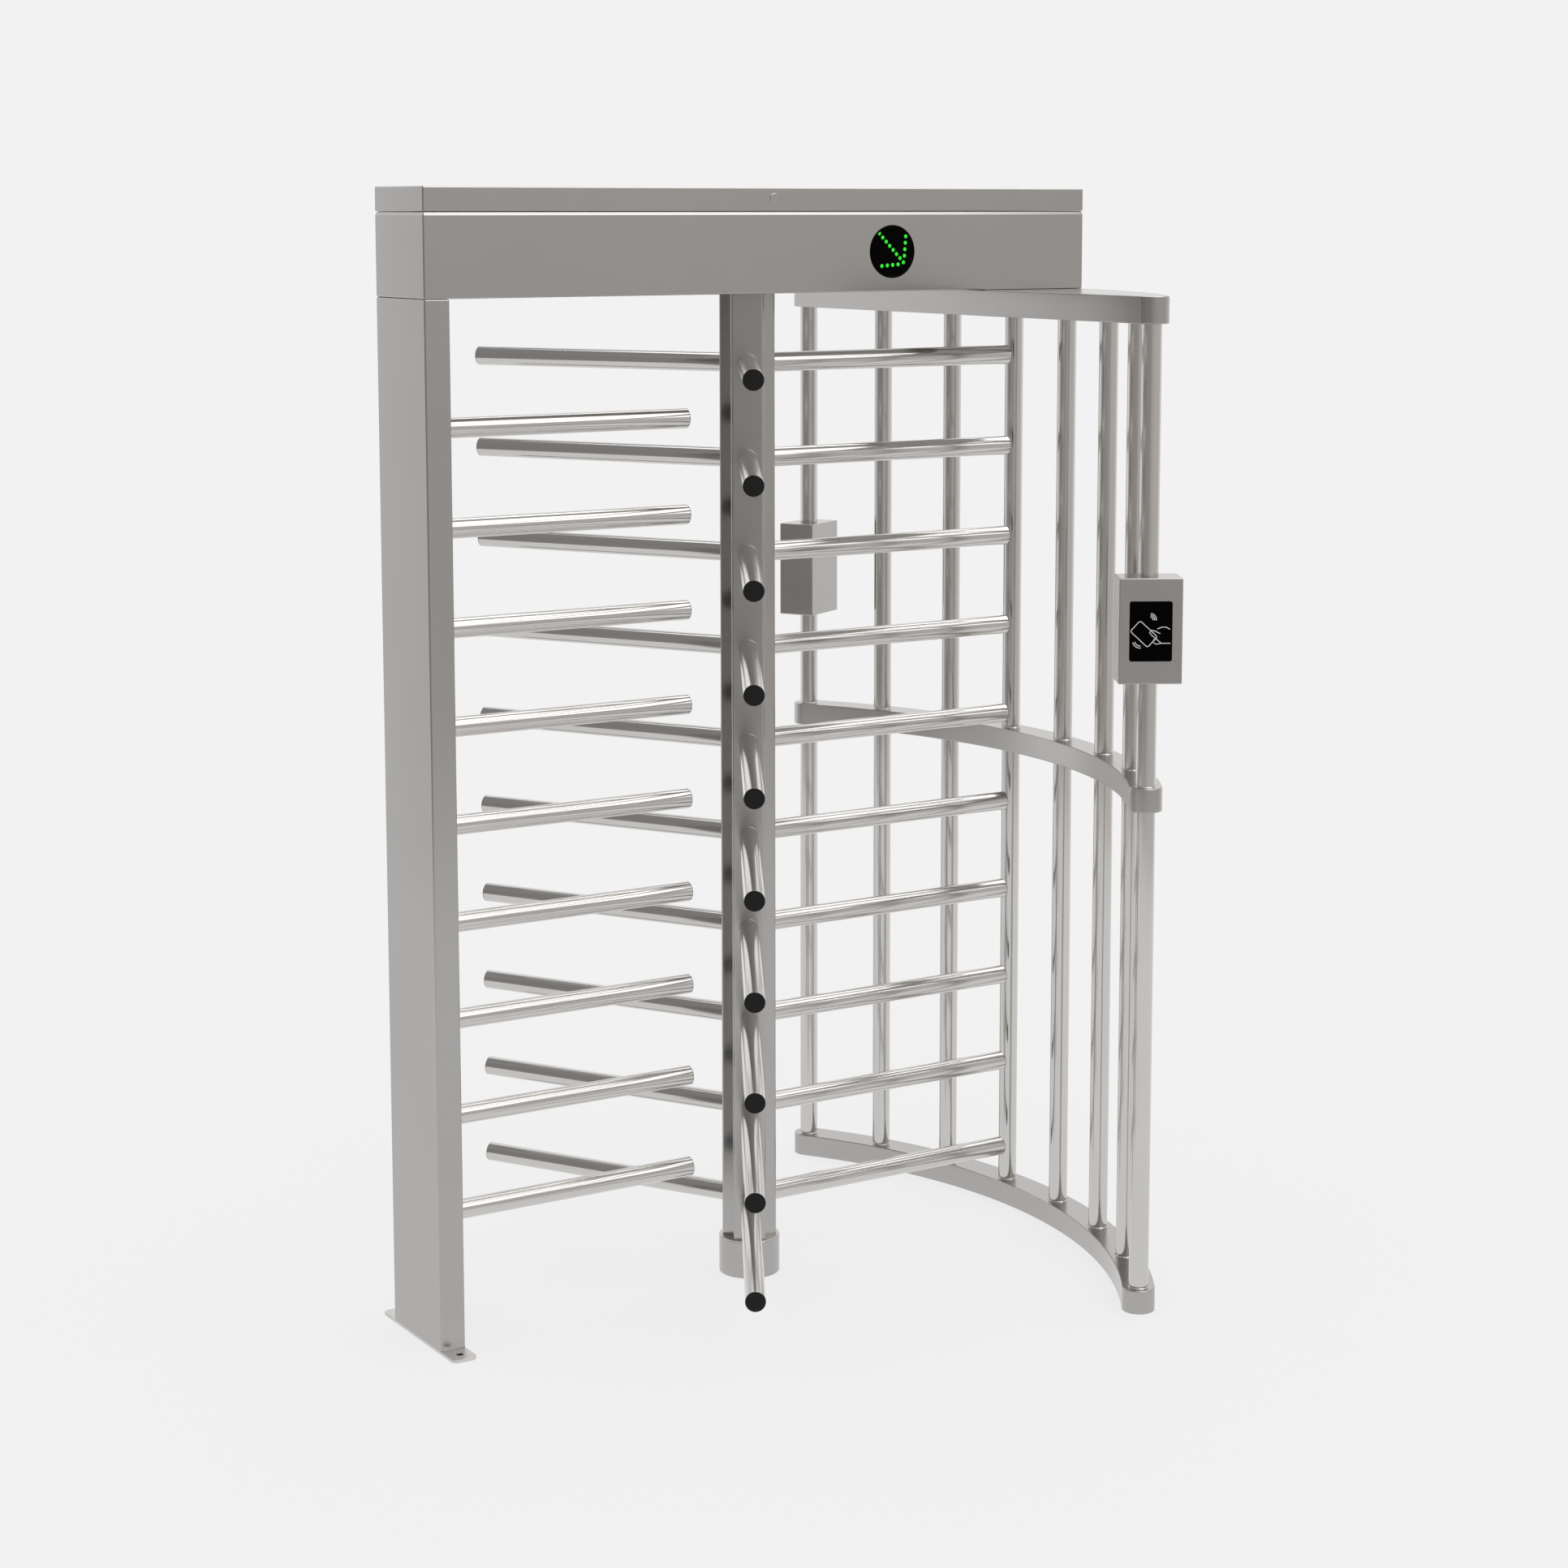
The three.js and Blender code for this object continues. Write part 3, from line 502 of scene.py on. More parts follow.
make_turned("foot_plug", plug_profile, cast_metal, "rotor", ["rotor_foot_plug"])

# Side post and base plate
# A flat box-section post of folded stainless sheet stands on a drilled base plate with
# rounded corners, and is welded to it. Two blackened anchors hold the plate to the floor.
SIDE_FOLD = 3 * MM
SIDE_WALL = 3 * MM
SIDE_END = 2.4 * MM
FOLD_STEPS = 4
LEAST_CORNER = 0.3 * MM
ARC_STEPS = 8
PLATE_CORNER = 12 * MM
PLATE_EDGE = 0.5 * MM
PLATE_HOLE = 7 * MM
PLATE_PROJECTION = 54 * MM
HOLE_SEGMENTS = 32
ANCHOR_HEAD = 4.4 * MM
ANCHOR_SOCKET = 1.6 * MM
ANCHOR_EDGE = 0.4 * MM
ANCHOR_TINT = (0.05, 0.05, 0.05)
ANCHOR_ROUGHNESS = 0.35
ANCHOR_GRAIN = (GRAIN_RUN, GRAIN_RUN, GRAIN_RUN)


def rectangle(low, high, inset=0.0):
    """A rectangle's corners in plan, anticlockwise, between two corner points."""
    x = (low[0] + inset, high[0] - inset)
    y = (low[1] + inset, high[1] - inset)
    return [(x[0], y[0]), (x[1], y[0]), (x[1], y[1]), (x[0], y[1])]


def rounded_rectangle(low, high, corner):
    """A rectangle in plan with round corners."""
    points = []
    for quarter, (x, y) in enumerate(rectangle(low, high, corner)):
        start = math.pi + quarter * QUARTER
        points += arc(x, y, corner, start, start + QUARTER, ARC_STEPS)
    return points


def folded_outline(low, high, corner):
    """A plan outline for sheet folded round a box: a rounded rectangle at each inset."""
    def outline(inset):
        inner_low = (low[0] + inset, low[1] + inset)
        inner_high = (high[0] - inset, high[1] - inset)
        return rounded_rectangle(inner_low, inner_high, max(corner - inset, LEAST_CORNER))
    return outline


def cut_out(piece, cutter):
    """Cuts a tool mesh out of a finished piece, ahead of its edge rounding."""
    data = bpy.data.meshes.new("cutter")
    bmesh.ops.recalc_face_normals(cutter, faces=cutter.faces)
    cutter.to_mesh(data)
    cutter.free()
    tool = place_object("cutter", data)
    blank = place_object("blank", piece.data)
    cutting = blank.modifiers.new("cut", "BOOLEAN")
    cutting.operation = "DIFFERENCE"
    cutting.solver = "EXACT"
    cutting.object = tool
    graph = bpy.context.evaluated_depsgraph_get()
    piece.data = bpy.data.meshes.new_from_object(blank.evaluated_get(graph))
    piece.data.shade_smooth()
    bpy.data.objects.remove(blank)
    bpy.data.objects.remove(tool)


side_low, side_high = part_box("side_post")
side = bmesh.new()
add_wrapped(
    side,
    folded_outline(side_low, side_high, SIDE_FOLD),
    [(0, side_low.z)]
    + arc(SIDE_END, side_high.z - SIDE_END, SIDE_END, math.pi, QUARTER, FOLD_STEPS)
    + [(SIDE_WALL, side_high.z), (SIDE_WALL, side_low.z)],
)
make_piece("side_upright", side, upright_steel, "frame", ["side_post"])

plate_low, plate_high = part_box("base_plate")
plate = bmesh.new()
plate_plan = rounded_rectangle(plate_low, plate_high, PLATE_CORNER)
add_prism(plate, plate_plan, plate_low.z, plate_high.z)
foot_plate = make_piece(
    "foot_plate", plate, faced_steel, "frame", ["base_plate"], PLATE_EDGE
)
deep = plate_high.z
drill_profile = [(0, -deep), (PLATE_HOLE, -deep), (PLATE_HOLE, 2 * deep), (0, 2 * deep)]
anchor_side = PLATE_HOLE - ANCHOR_EDGE
anchor_profile = [
    (0, ANCHOR_SOCKET), (0, plate_low.z), (anchor_side, plate_low.z),
    (anchor_side, ANCHOR_HEAD - ANCHOR_EDGE), (anchor_side - ANCHOR_EDGE, ANCHOR_HEAD),
    (PLATE_HOLE / 2, ANCHOR_HEAD), (PLATE_HOLE / 2, ANCHOR_SOCKET),
]
drill = bmesh.new()
anchors = bmesh.new()
for y in (plate_low.y + PLATE_PROJECTION / 2, plate_high.y - PLATE_PROJECTION / 2):
    place = Matrix.Translation(((plate_low.x + plate_high.x) / 2, y, 0))
    add_turned(drill, drill_profile, place, HOLE_SEGMENTS)
    add_turned(anchors, anchor_profile, place, HOLE_SEGMENTS)
cut_out(foot_plate, drill)
anchor_steel = brushed_metal(
    "blackened_steel_anchor", ANCHOR_TINT, ANCHOR_ROUGHNESS, ANCHOR_GRAIN
)
make_piece("plate_anchors", anchors, anchor_steel, "frame")

# Barrier bars
# Nine fixed bars of the same polished tube, welded to the side post. The rotor's arms pass
# between them, and black caps close their free ends.
BARRIER_BARS = 9
bar_steel = polished_metal("polished_steel_bar", GRAIN_ALONG_X)
for bar in range(1, BARRIER_BARS + 1):
    node = f"barrier_bar_{bar}"
    bar_low, bar_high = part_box(node)
    level = Matrix.Translation((0, 0, (bar_low.z + bar_high.z) / 2)) @ lying_along_x
    trimmed = bar_high.x + TUBE_TRIM
    make_turned(
        f"barrier_tube_{bar}", tube_profile(bar_low.x, trimmed), bar_steel, "frame",
        [node], level,
    )
    make_turned(
        f"barrier_weld_{bar}", weld_profile(side_high.x), bar_steel, "frame",
        place=level,
    )
    make_turned(
        f"barrier_cap_{bar}", end_cap_profile(trimmed), cap_plastic, "frame",
        place=level,
    )

# Cage bands and cap
# Two flat hollow bands of stainless sheet hold the cage's bars on an arc, and a cap closes
# the arc under the beam like a half moon. All are welded up and ground flush.
CAGE_RADIUS = 1045 * MM
CAGE_STEP = math.radians(10)
CAGE_BARS = 8
BAND_HALF_WIDTH = 32 * MM
BAND_EDGE = 2 * MM
BAND_EDGE_STEPS = 3
BAND_ARC_STEPS = 72
BAND_END_STEPS = 20
cage_reach = (CAGE_BARS - 1) / 2 * CAGE_STEP
band_low, band_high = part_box("bottom_band")
cage_centre = band_high.x - BAND_HALF_WIDTH - CAGE_RADIUS
end_bar_x = cage_centre + CAGE_RADIUS * math.cos(cage_reach)
end_bar_y = CAGE_RADIUS * math.sin(cage_reach)

band_steel = brushed_metal("satin_steel_band", SATIN_TINT, SATIN_ROUGHNESS, GRAIN_LEVEL)


def cage_plan(banded):
    """Arcs joined by round ends for a band, or one arc with a straight front for the cap."""
    reach = cage_reach
    lean = reach if banded else 0
    end_turn = 2 * math.pi - reach
    outer = arc(cage_centre, 0, CAGE_RADIUS + BAND_HALF_WIDTH, -reach, reach, BAND_ARC_STEPS)
    inner = arc(cage_centre, 0, CAGE_RADIUS - BAND_HALF_WIDTH, reach, -reach, BAND_ARC_STEPS)
    far = arc(end_bar_x, end_bar_y, BAND_HALF_WIDTH, reach, lean + math.pi, BAND_END_STEPS)
    near = arc(end_bar_x, -end_bar_y, BAND_HALF_WIDTH, math.pi - lean, end_turn, BAND_END_STEPS)
    return outer[:-1] + far + (inner[1:-1] if banded else []) + near[:-1]


for node, name, banded in (
    ("bottom_band", "floor_band", True),
    ("middle_band", "waist_band", True),
    ("cage_cap", "crown_plate", False),
):
    low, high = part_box(node)
    band = bmesh.new()
    add_prism(band, cage_plan(banded), low.z, high.z)
    make_piece(
        name, band, band_steel, "frame", [node], BAND_EDGE, BAND_EDGE_STEPS
    )

# Cage bars
# Eight upright bars of polished tube close the walkway's far side. Each passes through the
# bands and is welded to them and to the cap.
CAGE_WELD = 1.8 * MM
cage_steel = polished_metal("polished_steel_cage", GRAIN_ALONG_Z)
waist_low, waist_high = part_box("middle_band")
for bar in range(1, CAGE_BARS + 1):
    node = f"cage_bar_{bar}"
    bar_low, bar_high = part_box(node)
    stand = Matrix.Translation(((bar_low.x + bar_high.x) / 2, (bar_low.y + bar_high.y) / 2, 0))
    make_turned(
        f"cage_tube_{bar}", tube_profile(bar_low.z, bar_high.z), cage_steel, "frame",
        [node], stand,
    )
    welds = bmesh.new()
    for foot in (band_high.z, waist_high.z):
        add_turned(welds, weld_profile(foot, CAGE_WELD), stand)
    make_piece(f"cage_welds_{bar}", welds, cage_steel, "frame")

# Card readers
# A folded stainless box is fixed round each end bar of the cage, with a black glass pane
# let into its face. The pane shows a plain card-in-hand sign in light print.
READER_TURN = math.radians(120)
READER_WALL = 2.5 * MM
READER_HALF = (40 * MM, 60 * MM)
READER_EDGE = 2.2 * MM
READER_EDGE_STEPS = 3
PANE_HALF = (40 * MM, 56.5 * MM)
PANE_CORNER = 4 * MM
PANE_GAP = 0.5 * MM
PANE_EDGE = 0.5 * MM
POCKET_CUT = 4 * MM
POCKET_EDGE = 0.2 * MM
GLASS_BLACK = (0.0005, 0.0005, 0.0005)
GLASS_GLOSS = 0.03
PANE_ROUGHNESS = 0.12
PRINT_WHITE = (0.62, 0.62, 0.62)
PRINT_ROUGHNESS = 0.6
SIGN_LINE = 0.9 * MM
# The sign in the pane's plane, as shares of its half width: x to the right and y up.
CARD_TILT = math.radians(-43)
CARD_MIDDLE = (-0.33, -0.12)
CARD_HALF = (0.56, 0.34)
CARD_CORNER = 0.1
# Waves beside the card as (centre x, centre y, radius, start, end), angles in degrees.
WAVES = [(-0.06, 0.55, radius, -5, 80) for radius in (0.15, 0.23, 0.31)]
WAVES += [(-0.5, -0.42, radius, 195, 275) for radius in (0.26, 0.36)]
FINGER = [(0.9, 0.1), (0.72, 0.2), (0.5, 0.2), (0.3, 0.12)]
THUMB = [(0.44, -0.1), (0.2, 0.02), (0.02, 0.06), (-0.06, -0.06), (0.04, -0.18)]
THUMB += [(0.5, -0.56), (0.92, -0.56)]
PALM = [(0.16, -0.36), (0.1, -0.5), (0.24, -0.6), (0.5, -0.56)]


def plain_finish(name, tint, roughness):
    """A finish of one even colour."""
    material, _, surface = new_material(name)
    set_inputs(surface, Base_Color=(*tint, 1), Roughness=roughness)
    return material


pane_glass = moulded_plastic("black_glass_pane", GLASS_BLACK, PANE_ROUGHNESS, GLASS_GLOSS)
sign_print = plain_finish("white_sign_print", PRINT_WHITE, PRINT_ROUGHNESS)


def add_block(mesh, low, high, place=None):
    """A box between two corners."""
    add_prism(mesh, rectangle(low, high), low[2], high[2], place)


def pane_plan(grow):
    """The pane's outline in its own plane, grown all round."""
    half = (PANE_HALF[0] + grow, PANE_HALF[1] + grow)
    return rounded_rectangle((-half[0], -half[1]), half, PANE_CORNER)


def sign_strokes():
    """The sign's strokes, each as its points and whether it is closed."""
    tilt = Matrix.Rotation(CARD_TILT, 2)
    card = rounded_rectangle((-CARD_HALF[0], -CARD_HALF[1]), CARD_HALF, CARD_CORNER)
    strokes = [([Vector(CARD_MIDDLE) + tilt @ Vector(point) for point in card], True)]
    for x, y, radius, start, end in WAVES:
        wave = arc(x, y, radius, math.radians(start), math.radians(end), ARC_STEPS)
        strokes.append((wave, False))
    return strokes + [(FINGER, False), (THUMB, False), (PALM, False)]


def draw_sign(name, place):
    """Prints the sign's strokes as fine raised lines on a pane that faces local +X."""
    data = bpy.data.curves.new(name, "CURVE")
    data.dimensions = "3D"
    data.bevel_depth = SIGN_LINE
    data.bevel_resolution = 1
    for points, closed in sign_strokes():
        spline = data.splines.new("POLY")
        spline.points.add(len(points) - 1)
        spline.use_cyclic_u = closed
        for point, (x, y) in zip(spline.points, points):
            point.co = (*(place @ Vector((0, x * PANE_HALF[0], y * PANE_HALF[0]))), 1)
    data.materials.append(sign_print)
    sign = place_object(name, data)
    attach(sign, "frame")


for side_name, side_sign in (("front", -1), ("rear", 1)):
    reader_low, reader_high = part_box(f"reader_box_{side_name}")
    turned_out = Matrix.Translation((end_bar_x, side_sign * end_bar_y, 0))
    turned_out @= Matrix.Rotation(side_sign * READER_TURN, 4, "Z")
    half_depth, half_width = READER_HALF
    middle = (reader_low.z + reader_high.z) / 2
    case = bmesh.new()
    case_low = (-half_depth, -half_width, reader_low.z)
    case_high = (half_depth, half_width, reader_high.z)
    add_block(case, case_low, case_high, turned_out)
    bmesh.ops.bevel(
        case, geom=case.edges[:], offset=READER_EDGE, segments=READER_EDGE_STEPS, profile=0.5,
        affect="EDGES",
    )
    box = make_piece(
        f"reader_case_{side_name}", case, upright_steel, "frame",
        [f"reader_box_{side_name}"], POCKET_EDGE,
    )
    upright = Matrix.Translation((half_depth - READER_WALL, 0, middle))
    upright @= lying_along_x @ Matrix.Rotation(QUARTER, 4, "Z")
    pocket_cut = bmesh.new()
    add_prism(pocket_cut, pane_plan(PANE_GAP), 0, POCKET_CUT, turned_out @ upright)
    cut_out(box, pocket_cut)
    glass = bmesh.new()
    add_prism(glass, pane_plan(0), 0, READER_WALL, turned_out @ upright)
    make_piece(
        f"reader_pane_{side_name}", glass, pane_glass, "frame",
        [f"reader_window_{side_name}"], PANE_EDGE,
    )
    face = turned_out @ Matrix.Translation((half_depth, 0, middle))
    draw_sign(f"reader_sign_{side_name}", face)

# Beam
# A trough of folded stainless sheet spans the walkway and holds the mechanism. Its mouth is
# folded inward at a slant, which catches the light along the seam under the folded lid.
BEAM_SHEET = 2.5 * MM
BEAM_FOLD = 3 * MM
LIP_REACH = 7 * MM
# Each lip as (inset, distance from the mouth) in millimetres, outside and inside the sheet.
TROUGH_LIP = [(0, 7.0), (2.85, 0.9), (3.6, 0.3)]
TROUGH_LIP_BACK = [(4.8, 3.2), (2.5, 8.2)]
LID_LIP = [(0, 1.2), (0.35, 0.35), (1.2, 0)]
LID_LIP_BACK = [(2.5, 2.5)]
beam_steel = brushed_metal("satin_steel_beam", SATIN_TINT, SATIN_ROUGHNESS, GRAIN_ALONG_X)


def make_open_box(name, node, body, opens_up, lip, lip_back):
    """A box of sheet from its closed side to a mouth whose lip is folded inward."""
    low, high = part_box(node)
    closed = low.z if opens_up else high.z
    way = 1 if opens_up else -1
    deep = high.z - low.z
    profile = arc(BEAM_FOLD, BEAM_FOLD, BEAM_FOLD, 3 * QUARTER, math.pi, FOLD_STEPS)
    profile += [(inset * MM, deep - drop * MM) for inset, drop in lip]
    profile += [(LIP_REACH, deep), (LIP_REACH, deep - BEAM_SHEET)]
    profile += [(inset * MM, deep - drop * MM) for inset, drop in lip_back]
    profile.append((BEAM_SHEET, BEAM_SHEET))
    sheet = bmesh.new()
    section = [(inset, closed + way * height) for inset, height in profile]
    add_wrapped(sheet, folded_outline(low, high, BEAM_FOLD), section, False)
    make_piece(name, sheet, beam_steel, body, [node])


make_open_box("beam_trough", "beam_housing", "frame", True, TROUGH_LIP, TROUGH_LIP_BACK)
make_open_box("beam_cover", "beam_lid", "lid", False, LID_LIP, LID_LIP_BACK)

# Lid lock and hinge
# A quarter-turn cylinder lock in the lid's front hooks under a catch in the trough. A long
# pinned hinge of ground steel is screwed along the beam's back edge.
LOCK_EDGE = 1.4 * MM
LOCK_EDGE_STEPS = 6
LOCK_DISH = 0.2 * MM
LOCK_SEGMENTS = 48
NUT_RADIUS = 14 * MM
NUT_DEPTH = 6 * MM
NUT_SIDES = 6
TONGUE_HALF_WIDTH = 6 * MM
TONGUE_SHEET = 3 * MM
TONGUE_REACH = 18 * MM
CATCH_HALF_WIDTH = 12 * MM
CATCH_DROP = 10 * MM
CATCH_LEG = 22 * MM
SMALL_EDGE = 0.3 * MM
HARDWARE_EDGE = 0.4 * MM
HINGE_SHEET = 1.5 * MM
HINGE_SCREWS = 10
SCREW_RADIUS = 3.2 * MM
SCREW_HEAD = 0.8 * MM
SCREW_SHAPE = [(0, 0), (1, 0), (0.85, 0.8), (0.35, 1), (0.2, 0.5), (0, 0.5)]
SMALL_SEGMENTS = 20

lock_low, lock_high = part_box("lid_lock")
housing_low, housing_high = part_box("beam_housing")
lock_radius = lock_high.x
lock_height = lock_high.z - lock_radius
tongue_face = lock_high.y - TONGUE_SHEET
facing_back = Matrix.Rotation(-QUARTER, 4, "X")
facing_front = Matrix.Translation((0, lock_low.y, lock_height)) @ facing_back
lock_length = tongue_face - lock_low.y
barrel_profile = [(0, LOCK_DISH), (lock_radius - 2 * LOCK_EDGE, LOCK_DISH)]
barrel_profile += arc(lock_radius - LOCK_EDGE, LOCK_EDGE, LOCK_EDGE, -QUARTER, 0, LOCK_EDGE_STEPS)
barrel_profile += [(lock_radius, lock_length), (0, lock_length)]
make_turned(
    "lock_barrel", barrel_profile, upright_steel, "lock", ["lid_lock"],
    facing_front, LOCK_SEGMENTS,
)
tongue = bmesh.new()
add_block(
    tongue,
    (-TONGUE_HALF_WIDTH, tongue_face, lock_low.z),
    (TONGUE_HALF_WIDTH, lock_high.y, lock_height + TONGUE_HALF_WIDTH),
)
add_block(
    tongue,
    (-TONGUE_HALF_WIDTH, lock_high.y - TONGUE_REACH, lock_low.z),
    (TONGUE_HALF_WIDTH, tongue_face, lock_low.z + TONGUE_SHEET),
)
make_piece("lock_tongue", tongue, ground_steel, "lock", edge=SMALL_EDGE)
nut_seat = housing_low.y - lock_low.y + BEAM_SHEET
nut_end = nut_seat + NUT_DEPTH
nut_profile = [
    (lock_radius, nut_seat), (NUT_RADIUS, nut_seat), (NUT_RADIUS, nut_end), (lock_radius, nut_end)
]
make_turned(
    "lock_nut", nut_profile, ground_steel, "lid",
    place=facing_front, segments=NUT_SIDES, edge=HARDWARE_EDGE,
)
catch_top = lock_low.z + CATCH_DROP - BEAM_SHEET / 2
catch_under = catch_top - BEAM_SHEET
catch_foot = catch_top - CATCH_LEG
wall = housing_low.y + BEAM_SHEET
catch_tip = wall + TONGUE_REACH - BEAM_SHEET
catch_side = [
    (wall, catch_foot), (wall + BEAM_SHEET, catch_foot), (wall + BEAM_SHEET, catch_under),
    (catch_tip, catch_under), (catch_tip, catch_top), (wall, catch_top),
]
side_on = Matrix(((0, 0, 1, 0), (1, 0, 0, 0), (0, 1, 0, 0), (0, 0, 0, 1)))
lid_catch = bmesh.new()
add_prism(lid_catch, catch_side, -CATCH_HALF_WIDTH, CATCH_HALF_WIDTH, side_on)
make_piece("lid_catch", lid_catch, turned_steel, "frame", edge=HARDWARE_EDGE)


def scaled(shape, radius, height):
    """A profile from a shape given as shares of a radius and a height."""
    return [(share * radius, rise * height) for share, rise in shape]


def add_screw(mesh, spot, direction=Matrix.Identity(4)):
    """A low round screw head with its recess left as a dimple."""
    head = scaled(SCREW_SHAPE, SCREW_RADIUS, SCREW_HEAD)
    add_turned(mesh, head, Matrix.Translation(spot) @ direction, SMALL_SEGMENTS)


def dress_node(node, material, edge):
    """Finishes a machined part as it stands: its metal, and its edges broken."""
    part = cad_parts[node]
    part.data.materials.clear()
    part.data.materials.append(material)
    part.data.shade_smooth()
    round_edges(part, edge)


for leaf, body, share in (("hinge_leaf_beam", "frame", 0.3), ("hinge_leaf_lid", "lid", 0.7)):
    leaf_low, leaf_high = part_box(leaf)
    screws = bmesh.new()
    for screw in range(HINGE_SCREWS):
        x = leaf_low.x + (screw + 0.5) / HINGE_SCREWS * (leaf_high.x - leaf_low.x)
        z = leaf_low.z + share * (leaf_high.z - leaf_low.z)
        add_screw(screws, (x, leaf_low.y + HINGE_SHEET, z), facing_back)
    make_piece(f"{leaf}_screws", screws, ground_steel, body)
for node in ("hinge_leaf_beam", "hinge_leaf_lid", "hinge_pin"):
    dress_node(node, ground_steel, SMALL_EDGE)

# Direction displays
# A round black pod is clipped through the beam's front and back. Green lamps behind its
# dark face make an arrow that shows which way is open.
POD_RADIUS = 48.5 * MM
POD_DEPTH = 30 * MM
POD_SEAT = -2.3 * MM
RIM_RADIUS = 51.3 * MM
RIM_EDGE = 0.9 * MM
LAMP_RADIUS = 3.7 * MM
LAMP_DOME = 1.2 * MM
LAMP_SHAPE = [(0, -1), (1, -1), (1, 0), (0.8, 0.5), (0, 0.8)]
# The arrow's lines of lamps as (start, end, lamps), in shares of the rim's radius.
ARROW_LINES = [
    ((-0.603, 0.684), (0.496, -0.411), 8),
    ((0.6, 0.568), (0.54, -0.164), 4),
    ((-0.482, -0.543), (0.2525, -0.488), 4),
]
DISPLAY_ROUGHNESS = 0.1
LAMP_GREEN = (0.006, 0.5, 0.009)
LAMP_ROUGHNESS = 0.3
LAMP_STRENGTH = 0.8

display_glass = moulded_plastic(
    "black_display_face", GLASS_BLACK, DISPLAY_ROUGHNESS, GLASS_GLOSS
)
lamp_green = plain_finish("green_lamp", LAMP_GREEN, LAMP_ROUGHNESS)
lamp_surface = lamp_green.node_tree.nodes["Principled BSDF"]
set_inputs(lamp_surface, Emission_Color=(*LAMP_GREEN, 1), Emission_Strength=LAMP_STRENGTH)
pod_profile = [(0, -POD_DEPTH), (POD_RADIUS, -POD_DEPTH), (POD_RADIUS, POD_SEAT)]
pod_profile += [(RIM_RADIUS, POD_SEAT)] + rounded_rim(RIM_RADIUS, 0, RIM_EDGE)
pod_profile += [(RIM_RADIUS - 3 * RIM_EDGE, 0), (RIM_RADIUS - 4 * RIM_EDGE, -RIM_EDGE)]
pod_profile.append((0, -RIM_EDGE))

for side_name, side_sign in (("front", -1), ("rear", 1)):
    node = f"display_{side_name}"
    pod_low, pod_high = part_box(node)
    face_y = pod_low.y if side_sign < 0 else pod_high.y
    middle = ((pod_low.x + pod_high.x) / 2, face_y, (pod_low.z + pod_high.z) / 2)
    outward = Matrix.Translation(middle)
    outward @= Matrix.Rotation(0 if side_sign < 0 else math.pi, 4, "Z")
    outward @= Matrix.Rotation(QUARTER, 4, "X")
    make_turned(
        f"display_pod_{side_name}", pod_profile, display_glass, "frame", [node],
        outward, BROAD_SEGMENTS,
    )
    lamps = bmesh.new()
    for start, end, count in ARROW_LINES:
        for lamp in range(count):
            spot = Vector(start).lerp(Vector(end), lamp / (count - 1)) * RIM_RADIUS
            where = outward @ Matrix.Translation((spot.x, spot.y, -RIM_EDGE))
            add_turned(lamps, scaled(LAMP_SHAPE, LAMP_RADIUS, LAMP_DOME), where, SMALL_SEGMENTS)
    make_piece(f"arrow_lamps_{side_name}", lamps, lamp_green, "frame")

# Mechanism in the beam
# The rotor's shaft carries a gear that drives a damper, and an index disc that a pawl
# locks. All of it is machined or cast, and bolted to the trough's floor.
BEARING_SCREWS = 6
BEARING_SCREW_RING = 42 * MM
BEARING_SCREW_SCALE = 1.4
CAST_EDGE = 1.0 * MM
# The ground parts, with the width of their broken edges in millimetres.
GROUND_PARTS = {
    "rotor_shaft": 0.8, "rotor_gear": 0.3, "damper_pinion": 0.3, "index_disc": 0.5,
    "lock_pawl": 0.5, "pawl_pin": 0.4, "solenoid_plunger": 0.4,
}
for node, edge in GROUND_PARTS.items():
    dress_node(node, ground_steel, edge * MM)
for node in ("top_bearing", "rotary_damper", "solenoid_body"):
    dress_node(node, cast_metal, CAST_EDGE)
race_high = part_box("top_bearing")[1]
bearing_screws = bmesh.new()
for screw in range(BEARING_SCREWS):
    turn = Matrix.Rotation(screw * 2 * math.pi / BEARING_SCREWS, 4, "Z")
    spot = turn @ Vector((BEARING_SCREW_RING, 0, race_high.z))
    add_screw(bearing_screws, spot, Matrix.Scale(BEARING_SCREW_SCALE, 4))
make_piece("bearing_screws", bearing_screws, ground_steel, "frame")

# Control board
# A green laminate board stands on four posts at one side of the shaft. It carries chips on
# steel legs, relays, screw terminals and capacitor cans.
BOARD_GREEN = (0.012, 0.09, 0.03)
SUPPLY_BLACK = (0.01, 0.01, 0.01)
ELECTRIC_ROUGHNESS = 0.45
# In millimetres from the board's corner: x, y, length, width, height.
CHIPS = [(56, 34, 24, 24, 2.4), (18, 26, 12, 8, 2), (18, 46, 12, 8, 2), (98, 56, 16, 9, 2)]
RELAYS = [(104, 12, 19, 15, 15), (128, 12, 19, 15, 15)]
TERMINALS = [(20, 85, 60, 9, 11), (92, 85, 45, 9, 11)]
# In millimetres from the board's corner: x, y, radius, height.
CANS = [(30, 13, 5, 13), (46, 13, 5, 13), (62, 13, 4, 10), (140, 52, 6.5, 16)]
CORNER_SCREWS = [(8, 8), (8, 92), (152, 8), (152, 92)]
CAN_EDGE = 0.6 * MM
CAN_TOP_SHARE = 0.8
CAN_TOP_SHEET = 0.1 * MM
CAN_SEGMENTS = 24
LEG_PITCH = 2 * MM
LEG_REACH = 1.6 * MM
LEG_HALF_WIDTH = 0.4 * MM
LEG_HEIGHT = 0.9 * MM
TERMINAL_PITCH = 7.5 * MM

